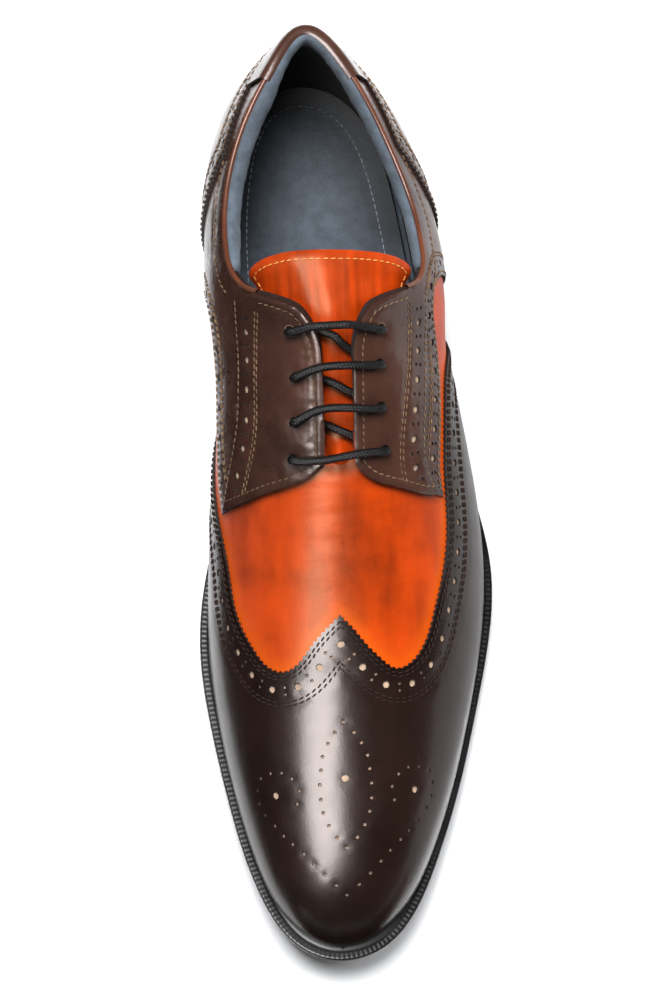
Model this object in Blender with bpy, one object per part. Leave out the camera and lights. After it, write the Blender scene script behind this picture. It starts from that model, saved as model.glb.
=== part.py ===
"""Left wing-tip brogue: welted sole and heel, hollow upper with applied panels, tongue and lace."""
import bpy
import bmesh
import numpy as np
from mathutils import Vector
from mathutils.geometry import delaunay_2d_cdt

# Driving dimensions, in millimetres.
SOLE_LENGTH = 306.0
BALL_WIDTH = 100.7
INSTEP_HEIGHT = 100.0
HEEL_LIFT = 21.5
TOE_SPRING = 10.2
OUTSOLE_THICK = 5.5
WELT_THICK = 3.2
WELT_LAP = 9.0
TOP_PIECE_THICK = 6.0
HEEL_BREAST = 72.0
INSOLE_THICK = 3.0
UPPER_WALL = 2.0
PANEL_THICK = 1.0
TONGUE_THICK = 2.2
TONGUE_DROP = 6.3
TONGUE_SINK = 2.0
TONGUE_SPREAD = 1.0
TONGUE_LIFT = 3.0
SLOT_HALF = 3.8
EYELET_RADIUS = 2.3
LACE_RADIUS = 1.25
GAP = 0.3
SECOND_GAP = 0.4
FEATHER_HEEL = 3.0
FEATHER_TOE = 5.5

# The rows below are drawn for these sizes and are scaled to the driving dimensions.
PATTERN_LENGTH = 306.0
PATTERN_BALL = 100.7
PATTERN_INSTEP = 100.0
LONG = SOLE_LENGTH / PATTERN_LENGTH
WIDE = BALL_WIDTH / PATTERN_BALL
TALL = INSTEP_HEIGHT / PATTERN_INSTEP
CENTRE_X = 7.85 * WIDE

# Welt edge in plan: station from the heel, medial edge, lateral edge.
SOLE_ROWS = [
    (0.0, 0.0, 0.0),
    (3.5, -12.5, 13.0),
    (15.0, -22.8, 25.0),
    (30.0, -28.3, 31.5),
    (50.0, -30.8, 35.5),
    (75.0, -30.8, 38.3),
    (100.0, -28.5, 41.5),
    (125.0, -29.0, 46.8),
    (150.0, -33.5, 54.0),
    (174.0, -39.8, 58.2),
    (198.0, -42.5, 56.0),
    (222.0, -40.4, 50.3),
    (246.0, -36.2, 43.6),
    (270.0, -30.6, 35.0),
    (286.0, -24.8, 27.8),
    (297.0, -18.2, 20.2),
    (303.5, -10.0, 11.5),
    (306.0, 0.0, 0.0),
]
# Underside of the outsole: station, share of the heel lift, share of the toe spring.
BOTTOM_ROWS = [
    (0.0, 1.0, 0.0),
    (30.0, 0.94, 0.0),
    (60.0, 0.815, 0.0),
    (90.0, 0.59, 0.0),
    (120.0, 0.32, 0.0),
    (150.0, 0.11, 0.0),
    (172.0, 0.015, 0.0),
    (186.0, 0.0, 0.0),
    (214.0, 0.0, 0.0),
    (230.0, 0.0, 0.055),
    (246.0, 0.0, 0.19),
    (268.0, 0.0, 0.42),
    (284.0, 0.0, 0.63),
    (306.0, 0.0, 1.0),
]
# Last sections: station, feather medial, feather lateral, crown x, half gap at the crown, crown height.
LAST_ROWS = [
    (3.0, 0.0, 0.0, 0.0, 0.0, 108.0),
    (6.0, -11.3, 11.7, 0.0, 4.0, 108.0),
    (18.0, -21.8, 23.5, 0.3, 9.7, 108.5),
    (35.0, -26.8, 30.0, 0.2, 14.7, 109.5),
    (60.0, -29.2, 34.5, 0.3, 17.7, 110.0),
    (85.0, -29.0, 38.0, 2.4, 18.4, 107.5),
    (105.0, -29.0, 41.0, 4.2, 18.0, 102.0),
    (122.0, -30.0, 44.5, 4.8, 18.0, 92.5),
    (150.0, -33.5, 51.0, 4.7, 18.0, 76.5),
    (175.0, -36.8, 53.8, 3.7, 18.0, 65.5),
    (198.0, -38.0, 51.7, 2.9, 18.0, 57.5),
    (222.0, -36.3, 46.5, 2.7, 18.0, 51.0),
    (246.0, -32.3, 39.8, 2.4, 18.0, 46.0),
    (268.0, -27.0, 31.8, 2.0, 18.0, 41.5),
    (284.0, -21.0, 23.8, 1.5, 18.0, 36.5),
    (294.0, -13.8, 15.2, 0.8, 18.0, 29.5),
    (299.0, -6.7, 7.3, 0.3, 18.0, 22.8),
    (300.5, 0.0, 0.0, 0.0, 18.0, 18.3),
]
# Section fullness: station, foot lean medial, lateral, foot rise, crown reach medial, lateral, crown drop.
FULL_ROWS = [
    (3.0, 0.0, 0.0, 24.0, 0.0, 0.0, 34.0),
    (18.0, 5.0, 7.0, 24.0, 4.5, 4.5, 34.0),
    (35.0, 8.5, 12.0, 24.0, 7.0, 5.5, 34.0),
    (60.0, 12.0, 20.0, 26.0, 9.5, 7.0, 32.0),
    (85.0, 14.0, 17.5, 29.0, 14.0, 12.5, 24.0),
    (105.0, 15.0, 13.0, 31.0, 18.0, 19.0, 11.0),
    (122.0, 14.0, 11.0, 31.0, 20.0, 22.5, 2.5),
    (150.0, 10.0, 6.0, 27.0, 21.5, 26.0, 0.0),
    (175.0, 5.0, 2.0, 23.0, 22.5, 28.0, 0.0),
    (198.0, 2.5, 1.5, 21.0, 23.0, 28.0, 0.0),
    (222.0, 1.5, 1.5, 18.5, 22.0, 25.5, 0.0),
    (246.0, 1.5, 1.5, 16.5, 20.0, 22.0, 0.0),
    (268.0, 1.2, 1.2, 14.5, 16.5, 18.0, 0.0),
    (284.0, 0.9, 0.9, 11.8, 12.5, 13.5, 0.0),
    (294.0, 0.5, 0.5, 7.5, 8.2, 8.8, 0.0),
    (300.5, 0.0, 0.0, 0.0, 0.0, 0.0, 0.0),
]
# Back seam: height, forward lean.
BACK_ROWS = [
    (18.0, 2.6),
    (30.0, 1.6),
    (40.0, 0.4),
    (52.0, 0.0),
    (66.0, 1.0),
    (80.0, 3.2),
    (94.0, 6.6),
    (110.0, 12.0),
]
BACK_FADE = 45.0
# Collar edge: station, height medial, height lateral.
COLLAR_ROWS = [
    (3.0, 95.0, 95.0),
    (12.0, 94.0, 93.5),
    (25.0, 90.0, 89.0),
    (40.0, 84.5, 83.0),
    (55.0, 80.5, 78.5),
    (68.0, 79.5, 77.0),
    (80.0, 82.0, 79.5),
    (92.0, 87.0, 84.5),
]
FACING_TOP = (91.0, 106.0)
SLOT_END = (147.5, 152.0)
TAB_END = 20.0
TAB_LOW = 0.70

# Panel edges: station, rise from the feather edge (0) to the crown (1).
WING_MEDIAL = [
    (118.0, 0.02), (130.0, 0.11), (144.0, 0.195), (162.0, 0.31), (177.3, 0.385), (188.7, 0.422),
    (196.6, 0.468), (204.7, 0.54), (209.4, 0.59), (213.0, 0.66), (213.7, 0.725), (211.0, 0.80),
    (206.1, 0.865), (201.5, 0.935), (197.5, 1.0),
]
WING_LATERAL = [
    (92.0, 0.02), (100.0, 0.17), (107.0, 0.27), (121.0, 0.40), (138.0, 0.475), (150.0, 0.50),
    (164.6, 0.50), (179.6, 0.52), (194.4, 0.57), (207.6, 0.63), (212.0, 0.68), (214.4, 0.755),
    (211.0, 0.835), (206.9, 0.893), (201.5, 0.95), (197.5, 1.0),
]
FACING_OUTER_MEDIAL = [
    (156.5, 0.38), (146.0, 0.425), (138.0, 0.465), (130.0, 0.49), (121.0, 0.498), (112.5, 0.513),
    (104.0, 0.56), (96.0, 0.645),
]
FACING_OUTER_LATERAL = [
    (156.5, 0.56), (152.0, 0.602), (143.6, 0.618), (134.7, 0.603), (125.4, 0.58), (116.3, 0.558),
    (107.3, 0.568), (99.5, 0.612), (95.5, 0.648),
]
QUARTER_LOWER_MEDIAL = [
    (158.0, 0.34), (146.0, 0.305), (130.0, 0.285), (114.0, 0.285), (104.0, 0.315), (97.0, 0.355),
    (92.0, 0.365), (87.0, 0.325), (83.5, 0.24), (82.0, 0.12), (81.5, 0.02),
]
QUARTER_LOWER_LATERAL = [
    (158.5, 0.515), (151.0, 0.53), (142.0, 0.515), (133.0, 0.49), (123.5, 0.46), (113.6, 0.442),
    (105.4, 0.475), (97.4, 0.54), (92.5, 0.55), (87.5, 0.50), (84.0, 0.39), (82.0, 0.2), (81.0, 0.02),
]
FACING_FRONT_MEDIAL = [(151.5, 0.93), (154.5, 0.87), (156.8, 0.70), (158.0, 0.52), (158.0, 0.395)]
FACING_FRONT_LATERAL = [(151.5, 0.94), (154.8, 0.90), (158.0, 0.755), (159.0, 0.63), (158.2, 0.565)]
COUNTER_FRONT = [(43.0, 0.625), (49.5, 0.50), (56.0, 0.38), (62.0, 0.25), (67.0, 0.13), (71.0, 0.02)]
EYELETS_MEDIAL = [(110.3, 0.82), (124.5, 0.806), (137.5, 0.798), (148.3, 0.788)]
EYELETS_LATERAL = [(111.0, 0.824), (121.8, 0.82), (134.3, 0.828), (147.0, 0.82)]
TONGUE_SIDE = [(164.0, 0.76), (150.0, 0.70), (136.0, 0.66), (122.0, 0.64), (108.0, 0.615), (99.0, 0.60),
               (94.5, 0.598), (91.5, 0.605), (89.2, 0.628), (88.0, 0.665), (87.4, 0.72), (87.2, 0.79),
               (87.2, 0.90), (87.2, 1.0)]

# Flat pattern sheet on which panels are divided: millimetres per unit of girth and of turn.
SHEET_GIRTH = 70.0
SHEET_RUN = 430.0
LATTICE_TURNS = 30
LATTICE_EXTRA = (10.5, 11.5, 11.75, 12.25, 12.5, 13.5, 14.5, 15.5, 16.5)
LATTICE_RISES = 10
EDGE_STEP = 5.0
EDGE_CLEAR = 0.8


def spline(knots, values):
    """Return the natural cubic spline through the knots."""
    k = np.asarray(knots, float)
    v = np.asarray(values, float)
    h = np.diff(k)
    a = np.eye(len(k))
    b = np.zeros(len(k))
    for i in range(1, len(k) - 1):
        a[i, i - 1:i + 2] = h[i - 1], 2 * (h[i - 1] + h[i]), h[i]
        b[i] = 6 * ((v[i + 1] - v[i]) / h[i] - (v[i] - v[i - 1]) / h[i - 1])
    m = np.linalg.solve(a, b)

    def at(x):
        x = np.clip(np.asarray(x, float), k[0], k[-1])
        i = np.clip(np.searchsorted(k, x) - 1, 0, len(k) - 2)
        d = x - k[i]
        e = k[i + 1] - x
        bend = (m[i] * e**3 + m[i + 1] * d**3) / (6 * h[i])
        return bend + (v[i] / h[i] - m[i] * h[i] / 6) * e + (v[i + 1] / h[i] - m[i + 1] * h[i] / 6) * d

    return at


def turn(s, start, end):
    """Station to turn, 0 at the heel and 1 at the toe, so that the round ends run in smoothly."""
    share = np.clip((np.asarray(s, float) - start) / (end - start), 0, 1)
    return np.arccos(1 - 2 * share) / np.pi


def station(t, start, end):
    """Turn back to station."""
    return start + (end - start) * (1 - np.cos(np.pi * np.asarray(t, float))) / 2


LAST_START = FEATHER_HEEL * LONG
LAST_END = SOLE_LENGTH - FEATHER_TOE * LONG


def last_turn(s):
    """Turn of a pattern station on the last."""
    return turn(np.asarray(s, float) * LONG, LAST_START, LAST_END)


def columns(rows, knots, scales):
    """Splines through the columns of a row table, each scaled."""
    table = np.array(rows)
    return [spline(knots, table[:, i + 1] * scale) for i, scale in enumerate(scales)]


SOLE_EDGES = columns(SOLE_ROWS, turn(np.array(SOLE_ROWS)[:, 0] * LONG, 0, SOLE_LENGTH), (WIDE, WIDE))
BOTTOM = columns(BOTTOM_ROWS, np.array(BOTTOM_ROWS)[:, 0] * LONG, (HEEL_LIFT, TOE_SPRING))
LAST = columns(LAST_ROWS, last_turn(np.array(LAST_ROWS)[:, 0]), (WIDE, WIDE, WIDE, WIDE, TALL))
FULL = columns(FULL_ROWS, last_turn(np.array(FULL_ROWS)[:, 0]), (WIDE, WIDE, TALL, WIDE, WIDE, TALL))
BACK = columns(BACK_ROWS, np.array(BACK_ROWS)[:, 0] * TALL, (LONG,))[0]
COLLAR = columns(COLLAR_ROWS, np.array(COLLAR_ROWS)[:, 0] * LONG, (TALL, TALL))


def underside(s):
    """Height of the outsole's underside: flat on the floor at the ball."""
    return np.maximum(BOTTOM[0](s) + BOTTOM[1](s), 0.0)


def seat(s):
    """Height of the feather edge above the floor."""
    return underside(s) + OUTSOLE_THICK + GAP + WELT_THICK + GAP


def ease(u):
    """Smooth step from 0 to 1."""
    u = np.clip(u, 0, 1)
    return u**3 * (10 - 15 * u + 6 * u * u)


def wall(t, side, w, closed=False):
    """Point x, station, z on the outside of the last; closed leaves no opening at the collar."""
    t = np.asarray(t, float)
    w = np.asarray(w, float)
    lateral = np.asarray(side) > 0
    medial_foot, lateral_foot, crown_x, gap, crown_z = [f(t) for f in LAST]
    top_t = np.maximum(t, last_turn(122.0)) if closed else t
    lean_m, lean_l, rise = [f(t) for f in FULL[:3]]
    reach_m, reach_l, drop = [f(top_t) for f in FULL[3:]]
    drop = 0.0 if closed else drop
    s = station(t, LAST_START, LAST_END)
    gap = gap * (1 - ease((s / LONG - 80.0) / 42.0))
    spread = TONGUE_SPREAD * gap if closed else 0.0
    gap = 0.0 if closed else gap
    foot_z = seat(s)
    out = np.where(lateral, 1.0, -1.0)
    foot_x = np.where(lateral, lateral_foot, medial_foot)
    top_x = crown_x + out * gap
    low_x = foot_x + out * np.where(lateral, lean_l, lean_m)
    high_x = top_x + out * (np.where(lateral, reach_l, reach_m) + spread)
    b = ((1 - w)**3, 3 * w * (1 - w)**2, 3 * w * w * (1 - w), w**3)
    x = b[0] * foot_x + b[1] * low_x + b[2] * high_x + b[3] * top_x
    z = b[0] * foot_z + b[1] * (foot_z + rise) + b[2] * (crown_z - drop) + b[3] * crown_z
    s = s + BACK(z) * np.exp(-((s - LAST_START) / (BACK_FADE * LONG))**2)
    return np.stack([x + 0 * z, s, z], -1)


def skin(t, side, w, off, closed=False):
    """Point off the last's outside by a distance along its normal, in x, station, z."""
    t = np.asarray(t, float)
    side = np.where(np.asarray(side) > 0, 1, -1)
    tc = np.clip(t, 2e-4, 1 - 2e-4)
    wc = np.clip(w, 1e-3, 1 - 1e-3)
    along = wall(tc + 1e-4, side, wc, closed) - wall(tc - 1e-4, side, wc, closed)
    up = wall(tc, side, wc + 1e-3, closed) - wall(tc, side, wc - 1e-3, closed)
    n = np.cross(up, along) * -side[..., None]
    n[..., 0] = np.where(t < 1e-3, 0.0, n[..., 0])
    n = n / np.linalg.norm(n, axis=-1, keepdims=True)
    n = np.where((t > 1 - 1e-6)[..., None], np.array([0.0, 1.0, 0.0]), n)
    return wall(t, side, w, closed) + np.asarray(off, float)[..., None] * n


def to_row(p):
    """Pattern x, station, z in millimetres to the part's own frame in metres."""
    p = np.asarray(p, float)
    return np.stack([p[..., 0] - CENTRE_X, SOLE_LENGTH / 2 - p[..., 1], p[..., 2]], -1) * 0.001


def rise_at(t, side, height):
    """Rise at which the last's outside reaches a height."""
    low = np.zeros_like(t)
    high = np.ones_like(t)
    for _ in range(40):
        mid = (low + high) / 2
        below = wall(t, side, mid)[..., 2] < height
        low = np.where(below, mid, low)
        high = np.where(below, high, mid)
    return (low + high) / 2


def top_rise(s, side, inset=0.0):
    """Rise of the upper's top edge at pattern stations: collar, facing top, throat slot, then the crown."""
    s = np.asarray(s, float)
    t = last_turn(s)
    collar = rise_at(t, side, COLLAR[0 if side < 0 else 1](s * LONG) - inset)
    reach = np.maximum(FULL[3 if side < 0 else 4](t), 5.0)
    closing = np.clip((s - SLOT_END[0]) / (SLOT_END[1] - SLOT_END[0]), 0, 1)
    slot = 1 - (SLOT_HALF * np.sqrt(1 - closing**2) + inset) / (3 * reach)
    mix = np.clip((s - FACING_TOP[0]) / (FACING_TOP[1] - FACING_TOP[0]), 0, 1)
    mix = mix * mix * (3 - 2 * mix)
    return collar + (slot - collar) * mix


def smooth(rows, step=EDGE_STEP):
    """Points along a smooth curve through station and rise rows, about a step apart on the sheet."""
    rows = np.array(rows, float)
    flat = np.stack([last_turn(rows[:, 0]) * SHEET_RUN, rows[:, 1] * SHEET_GIRTH], -1)
    chord = np.concatenate([[0], np.cumsum(np.linalg.norm(np.diff(flat, axis=0), axis=1))])
    count = max(2, int(round(chord[-1] / step)) + 1)
    at = np.linspace(0, chord[-1], count)
    t = spline(chord, last_turn(rows[:, 0]))(at)
    return t, spline(chord, rows[:, 1])(at)


def edge(side, rows, step=EDGE_STEP):
    """A panel edge on the sheet: turn and signed distance from the crown."""
    t, w = smooth(rows, step)
    return np.stack([t, side * (1 - w)], -1)


def top_edge(side, start, end, inset=0.0, step=4.0):
    """The upper's top edge between two stations, on the sheet."""
    ends = last_turn([start, end])
    count = max(2, int(round(abs(ends[1] - ends[0]) * SHEET_RUN / step)) + 1)
    t = np.linspace(ends[0], ends[1], count)
    s = station(t, LAST_START, LAST_END) / LONG
    return np.stack([t, side * (1 - top_rise(s, side, inset))], -1)


def foot_edge(side, start, end, rise=0.0):
    """The feather edge between two turns, on the sheet, at the turns of the lattice."""
    ring = lattice_turns()
    inside = ring[(ring > min(start, end) + 0.01) & (ring < max(start, end) - 0.01)]
    t = np.concatenate([[min(start, end)], inside, [max(start, end)]])
    if end < start:
        t = t[::-1]
    return np.stack([t, np.full(len(t), side * (1 - rise))], -1)


def eyelet(side, s, w, count=10):
    """Ring of an eyelet on the sheet."""
    t = float(last_turn(s))
    dt = np.linalg.norm(wall(t + 1e-3, side, w) - wall(t - 1e-3, side, w)) / 2e-3
    dw = np.linalg.norm(wall(t, side, w + 1e-3) - wall(t, side, w - 1e-3)) / 2e-3
    a = np.arange(count) * 2 * np.pi / count
    return np.stack([t + EYELET_RADIUS * np.cos(a) / dt, side * (1 - w) + EYELET_RADIUS * np.sin(a) / dw], -1)


def inside_loop(points, loop):
    """Even-odd test of points against a closed loop."""
    a = loop
    b = np.roll(loop, -1, axis=0)
    x = points[:, 0][:, None]
    y = points[:, 1][:, None]
    span = (a[:, 1] > y) != (b[:, 1] > y)
    run = np.where(b[:, 1] == a[:, 1], 1.0, b[:, 1] - a[:, 1])
    cross = (b[:, 0] - a[:, 0]) * (y - a[:, 1]) / run + a[:, 0]
    return (np.sum(span & (x < cross), axis=1) % 2) == 1


def clear_of(points, loop, reach):
    """Points that keep a distance from a closed loop."""
    a = loop[None]
    d = np.roll(loop, -1, axis=0)[None] - a
    r = points[:, None] - a
    along = np.clip(np.sum(r * d, -1) / np.maximum(np.sum(d * d, -1), 1e-12), 0, 1)
    return np.min(np.linalg.norm(r - along[..., None] * d, axis=-1), axis=1) > reach


def divide(loops, lattice):
    """Divide the sheet inside the first loop and outside the others into triangles."""
    scale = np.array([SHEET_RUN, SHEET_GIRTH])
    flat = [np.asarray(loop) * scale for loop in loops]
    pts = np.asarray(lattice) * scale
    keep = inside_loop(pts, flat[0])
    for loop in flat:
        keep = keep & clear_of(pts, loop, EDGE_CLEAR)
    verts = []
    edges = []
    for loop in flat:
        base = len(verts)
        verts.extend(Vector(p) for p in loop)
        edges.extend((base + i, base + (i + 1) % len(loop)) for i in range(len(loop)))
    verts.extend(Vector(p) for p in pts[keep])
    out = delaunay_2d_cdt(verts, edges, [], 0, 1e-5)
    points = np.array([(v.x, v.y) for v in out[0]])
    tris = np.array([f for f in out[2]])
    centre = points[tris].mean(axis=1)
    good = inside_loop(centre, flat[0])
    for hole in flat[1:]:
        good = good & ~inside_loop(centre, hole)
    return points / scale, tris[good]


def lattice_turns():
    """Turns of the shared lattice, closer over the facings."""
    return np.sort(np.concatenate([np.arange(LATTICE_TURNS + 1), LATTICE_EXTRA])) / LATTICE_TURNS


def lattice_points():
    """The shared lattice of turns and crown distances, so that layers are divided alike."""
    t = lattice_turns()[1:-1]
    q = np.arange(-LATTICE_RISES, LATTICE_RISES + 1) / LATTICE_RISES
    return np.stack(np.meshgrid(t, q, indexing="ij"), -1).reshape(-1, 2)


def signed_turns(reach):
    """Turns of the lattice on both sides of the heel, short of a reach."""
    t = lattice_turns()
    t = t[t < reach - 0.012]
    return np.concatenate([-t[:0:-1], t])


def rear_lattice_points():
    """The same lattice seen round the heel: signed turn and rise."""
    t = np.concatenate([-lattice_turns()[:0:-1], lattice_turns()])
    w = np.arange(0, LATTICE_RISES + 1) / LATTICE_RISES
    return np.stack(np.meshgrid(t, w, indexing="ij"), -1).reshape(-1, 2)


def front_sheet(points, off, closed=False):
    """Map turn and crown distance to the skin."""
    side = np.where(points[:, 1] < 0, -1, 1)
    return skin(points[:, 0], side, 1 - np.abs(points[:, 1]), off, closed)


def rear_sheet(points, off):
    """Map signed turn and rise to the skin."""
    side = np.where(points[:, 0] < 0, -1, 1)
    return skin(np.abs(points[:, 0]), side, points[:, 1], off)


def slab(low, high, tris):
    """Close two like sheets into one solid; points that fall together are joined."""
    key = np.round(np.concatenate([low, high], axis=1) / 2e-3).astype(int)
    _, first, back = np.unique(key, axis=0, return_index=True, return_inverse=True)
    back = back.reshape(-1)
    tris = back[tris]
    real = (tris[:, 0] != tris[:, 1]) & (tris[:, 1] != tris[:, 2]) & (tris[:, 2] != tris[:, 0])
    tris = tris[real]
    used = np.unique(tris)
    place = -np.ones(len(first), int)
    place[used] = np.arange(len(used))
    tris = place[tris]
    low = low[first][used]
    high = high[first][used]
    n = len(used)
    seen = {}
    for tri in tris:
        for i in range(3):
            a = int(tri[i])
            b = int(tri[(i + 1) % 3])
            if (b, a) in seen:
                del seen[(b, a)]
            else:
                seen[(a, b)] = True
    faces = [tuple(int(v) + n for v in tri) for tri in tris]
    faces += [tuple(int(v) for v in tri[::-1]) for tri in tris]
    for a, b in seen:
        faces.append((a, b, b + n))
        faces.append((a, b + n, a + n))
    return np.concatenate([low, high]), faces


def material(name, colour, roughness):
    """A plain named material."""
    made = bpy.data.materials.new(name)
    made.use_nodes = True
    shader = made.node_tree.nodes["Principled BSDF"]
    shader.inputs["Base Color"].default_value = (*colour, 1.0)
    shader.inputs["Roughness"].default_value = roughness
    return made


def solid(name, points, faces, made_of):
    """Make a named object from pattern points and faces, with its faces turned outward."""
    mesh = bpy.data.meshes.new(name)
    mesh.from_pydata([tuple(p) for p in to_row(points)], [], faces)
    work = bmesh.new()
    work.from_mesh(mesh)
    bmesh.ops.triangulate(work, faces=work.faces[:])
    bmesh.ops.recalc_face_normals(work, faces=work.faces[:])
    work.to_mesh(mesh)
    work.free()
    mesh.materials.append(made_of)
    made = bpy.data.objects.new(name, mesh)
    bpy.context.scene.collection.objects.link(made)
    return made


def panel(name, loops, low, high, made_of):
    """A panel that lies on the last between two distances from its outside."""
    points, tris = divide(loops, lattice_points())
    bottom = front_sheet(points, np.full(len(points), low))
    top = front_sheet(points, np.full(len(points), high))
    verts, faces = slab(bottom, top, tris)
    return solid(name, verts, faces, made_of)


def rear_panel(name, loop, low, high, made_of):
    """A panel that wraps the heel between two distances from the last's outside."""
    points, tris = divide([loop], rear_lattice_points())
    bottom = rear_sheet(points, np.full(len(points), low))
    top = rear_sheet(points, np.full(len(points), high))
    verts, faces = slab(bottom, top, tris)
    return solid(name, verts, faces, made_of)


def ring_of_edges(medial, lateral):
    """Closed plan loop from medial and lateral edge points that share their two end points."""
    return np.concatenate([medial, lateral[-2:0:-1]])


def inset_loop(loop, distance):
    """Move a closed plan loop inward by a distance."""
    ahead = np.roll(loop, -1, axis=0) - np.roll(loop, 1, axis=0)
    n = np.stack([-ahead[:, 1], ahead[:, 0]], -1)
    n = n / np.linalg.norm(n, axis=1, keepdims=True)
    area = np.sum(loop[:, 0] * np.roll(loop[:, 1], -1) - loop[:, 1] * np.roll(loop[:, 0], -1))
    return loop + n * distance * np.sign(area)


def stack(levels, open_end=False):
    """Solid through loops from bottom to top, capped by strips across the loop."""
    n = len(levels[0])
    verts = np.concatenate(levels)
    faces = []
    for k in range(len(levels) - 1):
        for i in range(n):
            j = (i + 1) % n
            faces.append((k * n + i, k * n + j, (k + 1) * n + j, (k + 1) * n + i))
    for base in (0, (len(levels) - 1) * n):
        last = n // 2 if not open_end else (n - 1) // 2
        for i in range(last):
            a = base + i
            b = base + i + 1
            c = base + (n - i - 1) % n
            d = base + (n - i) % n
            faces.append(tuple(dict.fromkeys((a, b, c, d))))
    return verts, faces


def hoop(levels):
    """Closed band through loops taken in turn round its section."""
    n = len(levels[0])
    count = len(levels)
    faces = []
    for k in range(count):
        m = (k + 1) % count
        for i in range(n):
            j = (i + 1) % n
            faces.append((k * n + i, k * n + j, m * n + j, m * n + i))
    return np.concatenate(levels), faces


def at_height(loop, height):
    """Plan loop of x and station lifted to a height."""
    return np.column_stack([loop, height * np.ones(len(loop))])


def sole_loop(turns):
    """Welt edge in plan."""
    s = station(turns, 0, SOLE_LENGTH)
    medial = np.stack([SOLE_EDGES[0](turns), s], -1)
    lateral = np.stack([SOLE_EDGES[1](turns), s], -1)
    return ring_of_edges(medial, lateral)


def feather_loop(turns, inset):
    """Plan loop inside the upper's wall at the feather edge."""
    medial = skin(turns, -np.ones(len(turns)), np.zeros(len(turns)), np.zeros(len(turns)))[:, :2]
    lateral = skin(turns, np.ones(len(turns)), np.zeros(len(turns)), np.zeros(len(turns)))[:, :2]
    return inset_loop(ring_of_edges(medial, lateral), inset)


def make_sole():
    """Outsole, welt, heel and insole."""
    turns = np.linspace(0, 1, 35)
    welt_edge = sole_loop(turns)
    welt_hole = inset_loop(welt_edge, WELT_LAP)
    outsole_foot = inset_loop(welt_edge, 1.2)
    outsole_edge = inset_loop(welt_edge, 0.4)
    bed = inset_loop(welt_edge, WELT_LAP + GAP)
    verts, faces = stack([
        at_height(outsole_foot, underside(outsole_foot[:, 1])),
        at_height(outsole_edge, underside(outsole_edge[:, 1]) + 1.2),
        at_height(outsole_edge, underside(outsole_edge[:, 1]) + OUTSOLE_THICK),
        at_height(bed, underside(bed[:, 1]) + OUTSOLE_THICK),
        at_height(bed, seat(bed[:, 1]) - GAP),
    ])
    solid("outsole", verts, faces, material("outsole_rubber", (0.012, 0.011, 0.011), 0.5))
    verts, faces = hoop([
        at_height(welt_hole, seat(welt_hole[:, 1]) - GAP - WELT_THICK),
        at_height(welt_edge, seat(welt_edge[:, 1]) - GAP - WELT_THICK),
        at_height(welt_edge, seat(welt_edge[:, 1]) - GAP),
        at_height(welt_hole, seat(welt_hole[:, 1]) - GAP),
    ])
    solid("welt", verts, faces, material("welt_leather", (0.013, 0.011, 0.010), 0.45))
    breast = turn(HEEL_BREAST * LONG, 0, SOLE_LENGTH)
    back = np.linspace(0, float(breast), 13)
    s_back = station(back, 0, SOLE_LENGTH)
    medial = np.stack([SOLE_EDGES[0](back), s_back], -1)
    lateral = np.stack([SOLE_EDGES[1](back), s_back], -1)
    heel_edge = np.concatenate([medial, lateral[:0:-1]])
    pull = np.array([[0.0, -0.6]])
    upper_edge = inset_loop(heel_edge, 0.8)
    lower_edge = inset_loop(heel_edge, 1.6) + pull * (heel_edge[:, 1:] / heel_edge[:, 1].max())
    verts, faces = stack([
        at_height(lower_edge, TOP_PIECE_THICK + GAP),
        at_height(upper_edge, underside(upper_edge[:, 1]) - GAP),
    ], open_end=True)
    solid("heel_stack", verts, faces, material("heel_leather", (0.014, 0.011, 0.010), 0.45))
    verts, faces = stack([at_height(lower_edge, 0.0), at_height(lower_edge, TOP_PIECE_THICK)], open_end=True)
    solid("heel_top_piece", verts, faces, material("top_piece_rubber", (0.012, 0.012, 0.012), 0.6))
    inner = feather_loop(turns, UPPER_WALL + 1.1)
    z = seat(inner[:, 1]) + GAP
    verts, faces = stack([at_height(inner, z), at_height(inner, z + INSOLE_THICK)])
    solid("insole", verts, faces, material("insole_leather", (0.035, 0.042, 0.055), 0.7))


def eyelet_rings(side):
    """Rings of the eyelets of one side."""
    return [eyelet(side, s, w) for s, w in (EYELETS_MEDIAL if side < 0 else EYELETS_LATERAL)]


def make_upper():
    """The hollow upper, open at the collar, the throat and underneath."""
    first = FEATHER_HEEL
    parts = [
        top_edge(-1, first, 88.0, step=7.0),
        top_edge(-1, 90.0, 112.0, step=2.0),
        top_edge(-1, 118.0, 142.0, step=8.0),
        top_edge(-1, SLOT_END[0], SLOT_END[1] - 0.4, step=1.3),
        [(float(last_turn(SLOT_END[1])), 0.0)],
        top_edge(1, SLOT_END[1] - 0.4, SLOT_END[0], step=1.3),
        top_edge(1, 142.0, 118.0, step=8.0),
        top_edge(1, 112.0, 90.0, step=2.0),
        top_edge(1, 88.0, first, step=7.0),
    ]
    back = np.linspace(0, 1, 11)[1:-1]
    w_top = float(top_rise(np.array([first]), 1)[0])
    parts.append([(0.0, 1 - w_top * (1 - b)) for b in back])
    parts.append(foot_edge(1, 0.0, 1.0))
    parts.append(foot_edge(-1, 1.0, 0.0))
    parts.append([(0.0, -(1 - w_top * b)) for b in back])
    loop = np.concatenate([np.asarray(p, float) for p in parts])
    leather = material("vamp_leather", (0.42, 0.085, 0.018), 0.4)
    panel("upper", [loop] + eyelet_rings(-1) + eyelet_rings(1), -UPPER_WALL, 0.0, leather)


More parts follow.
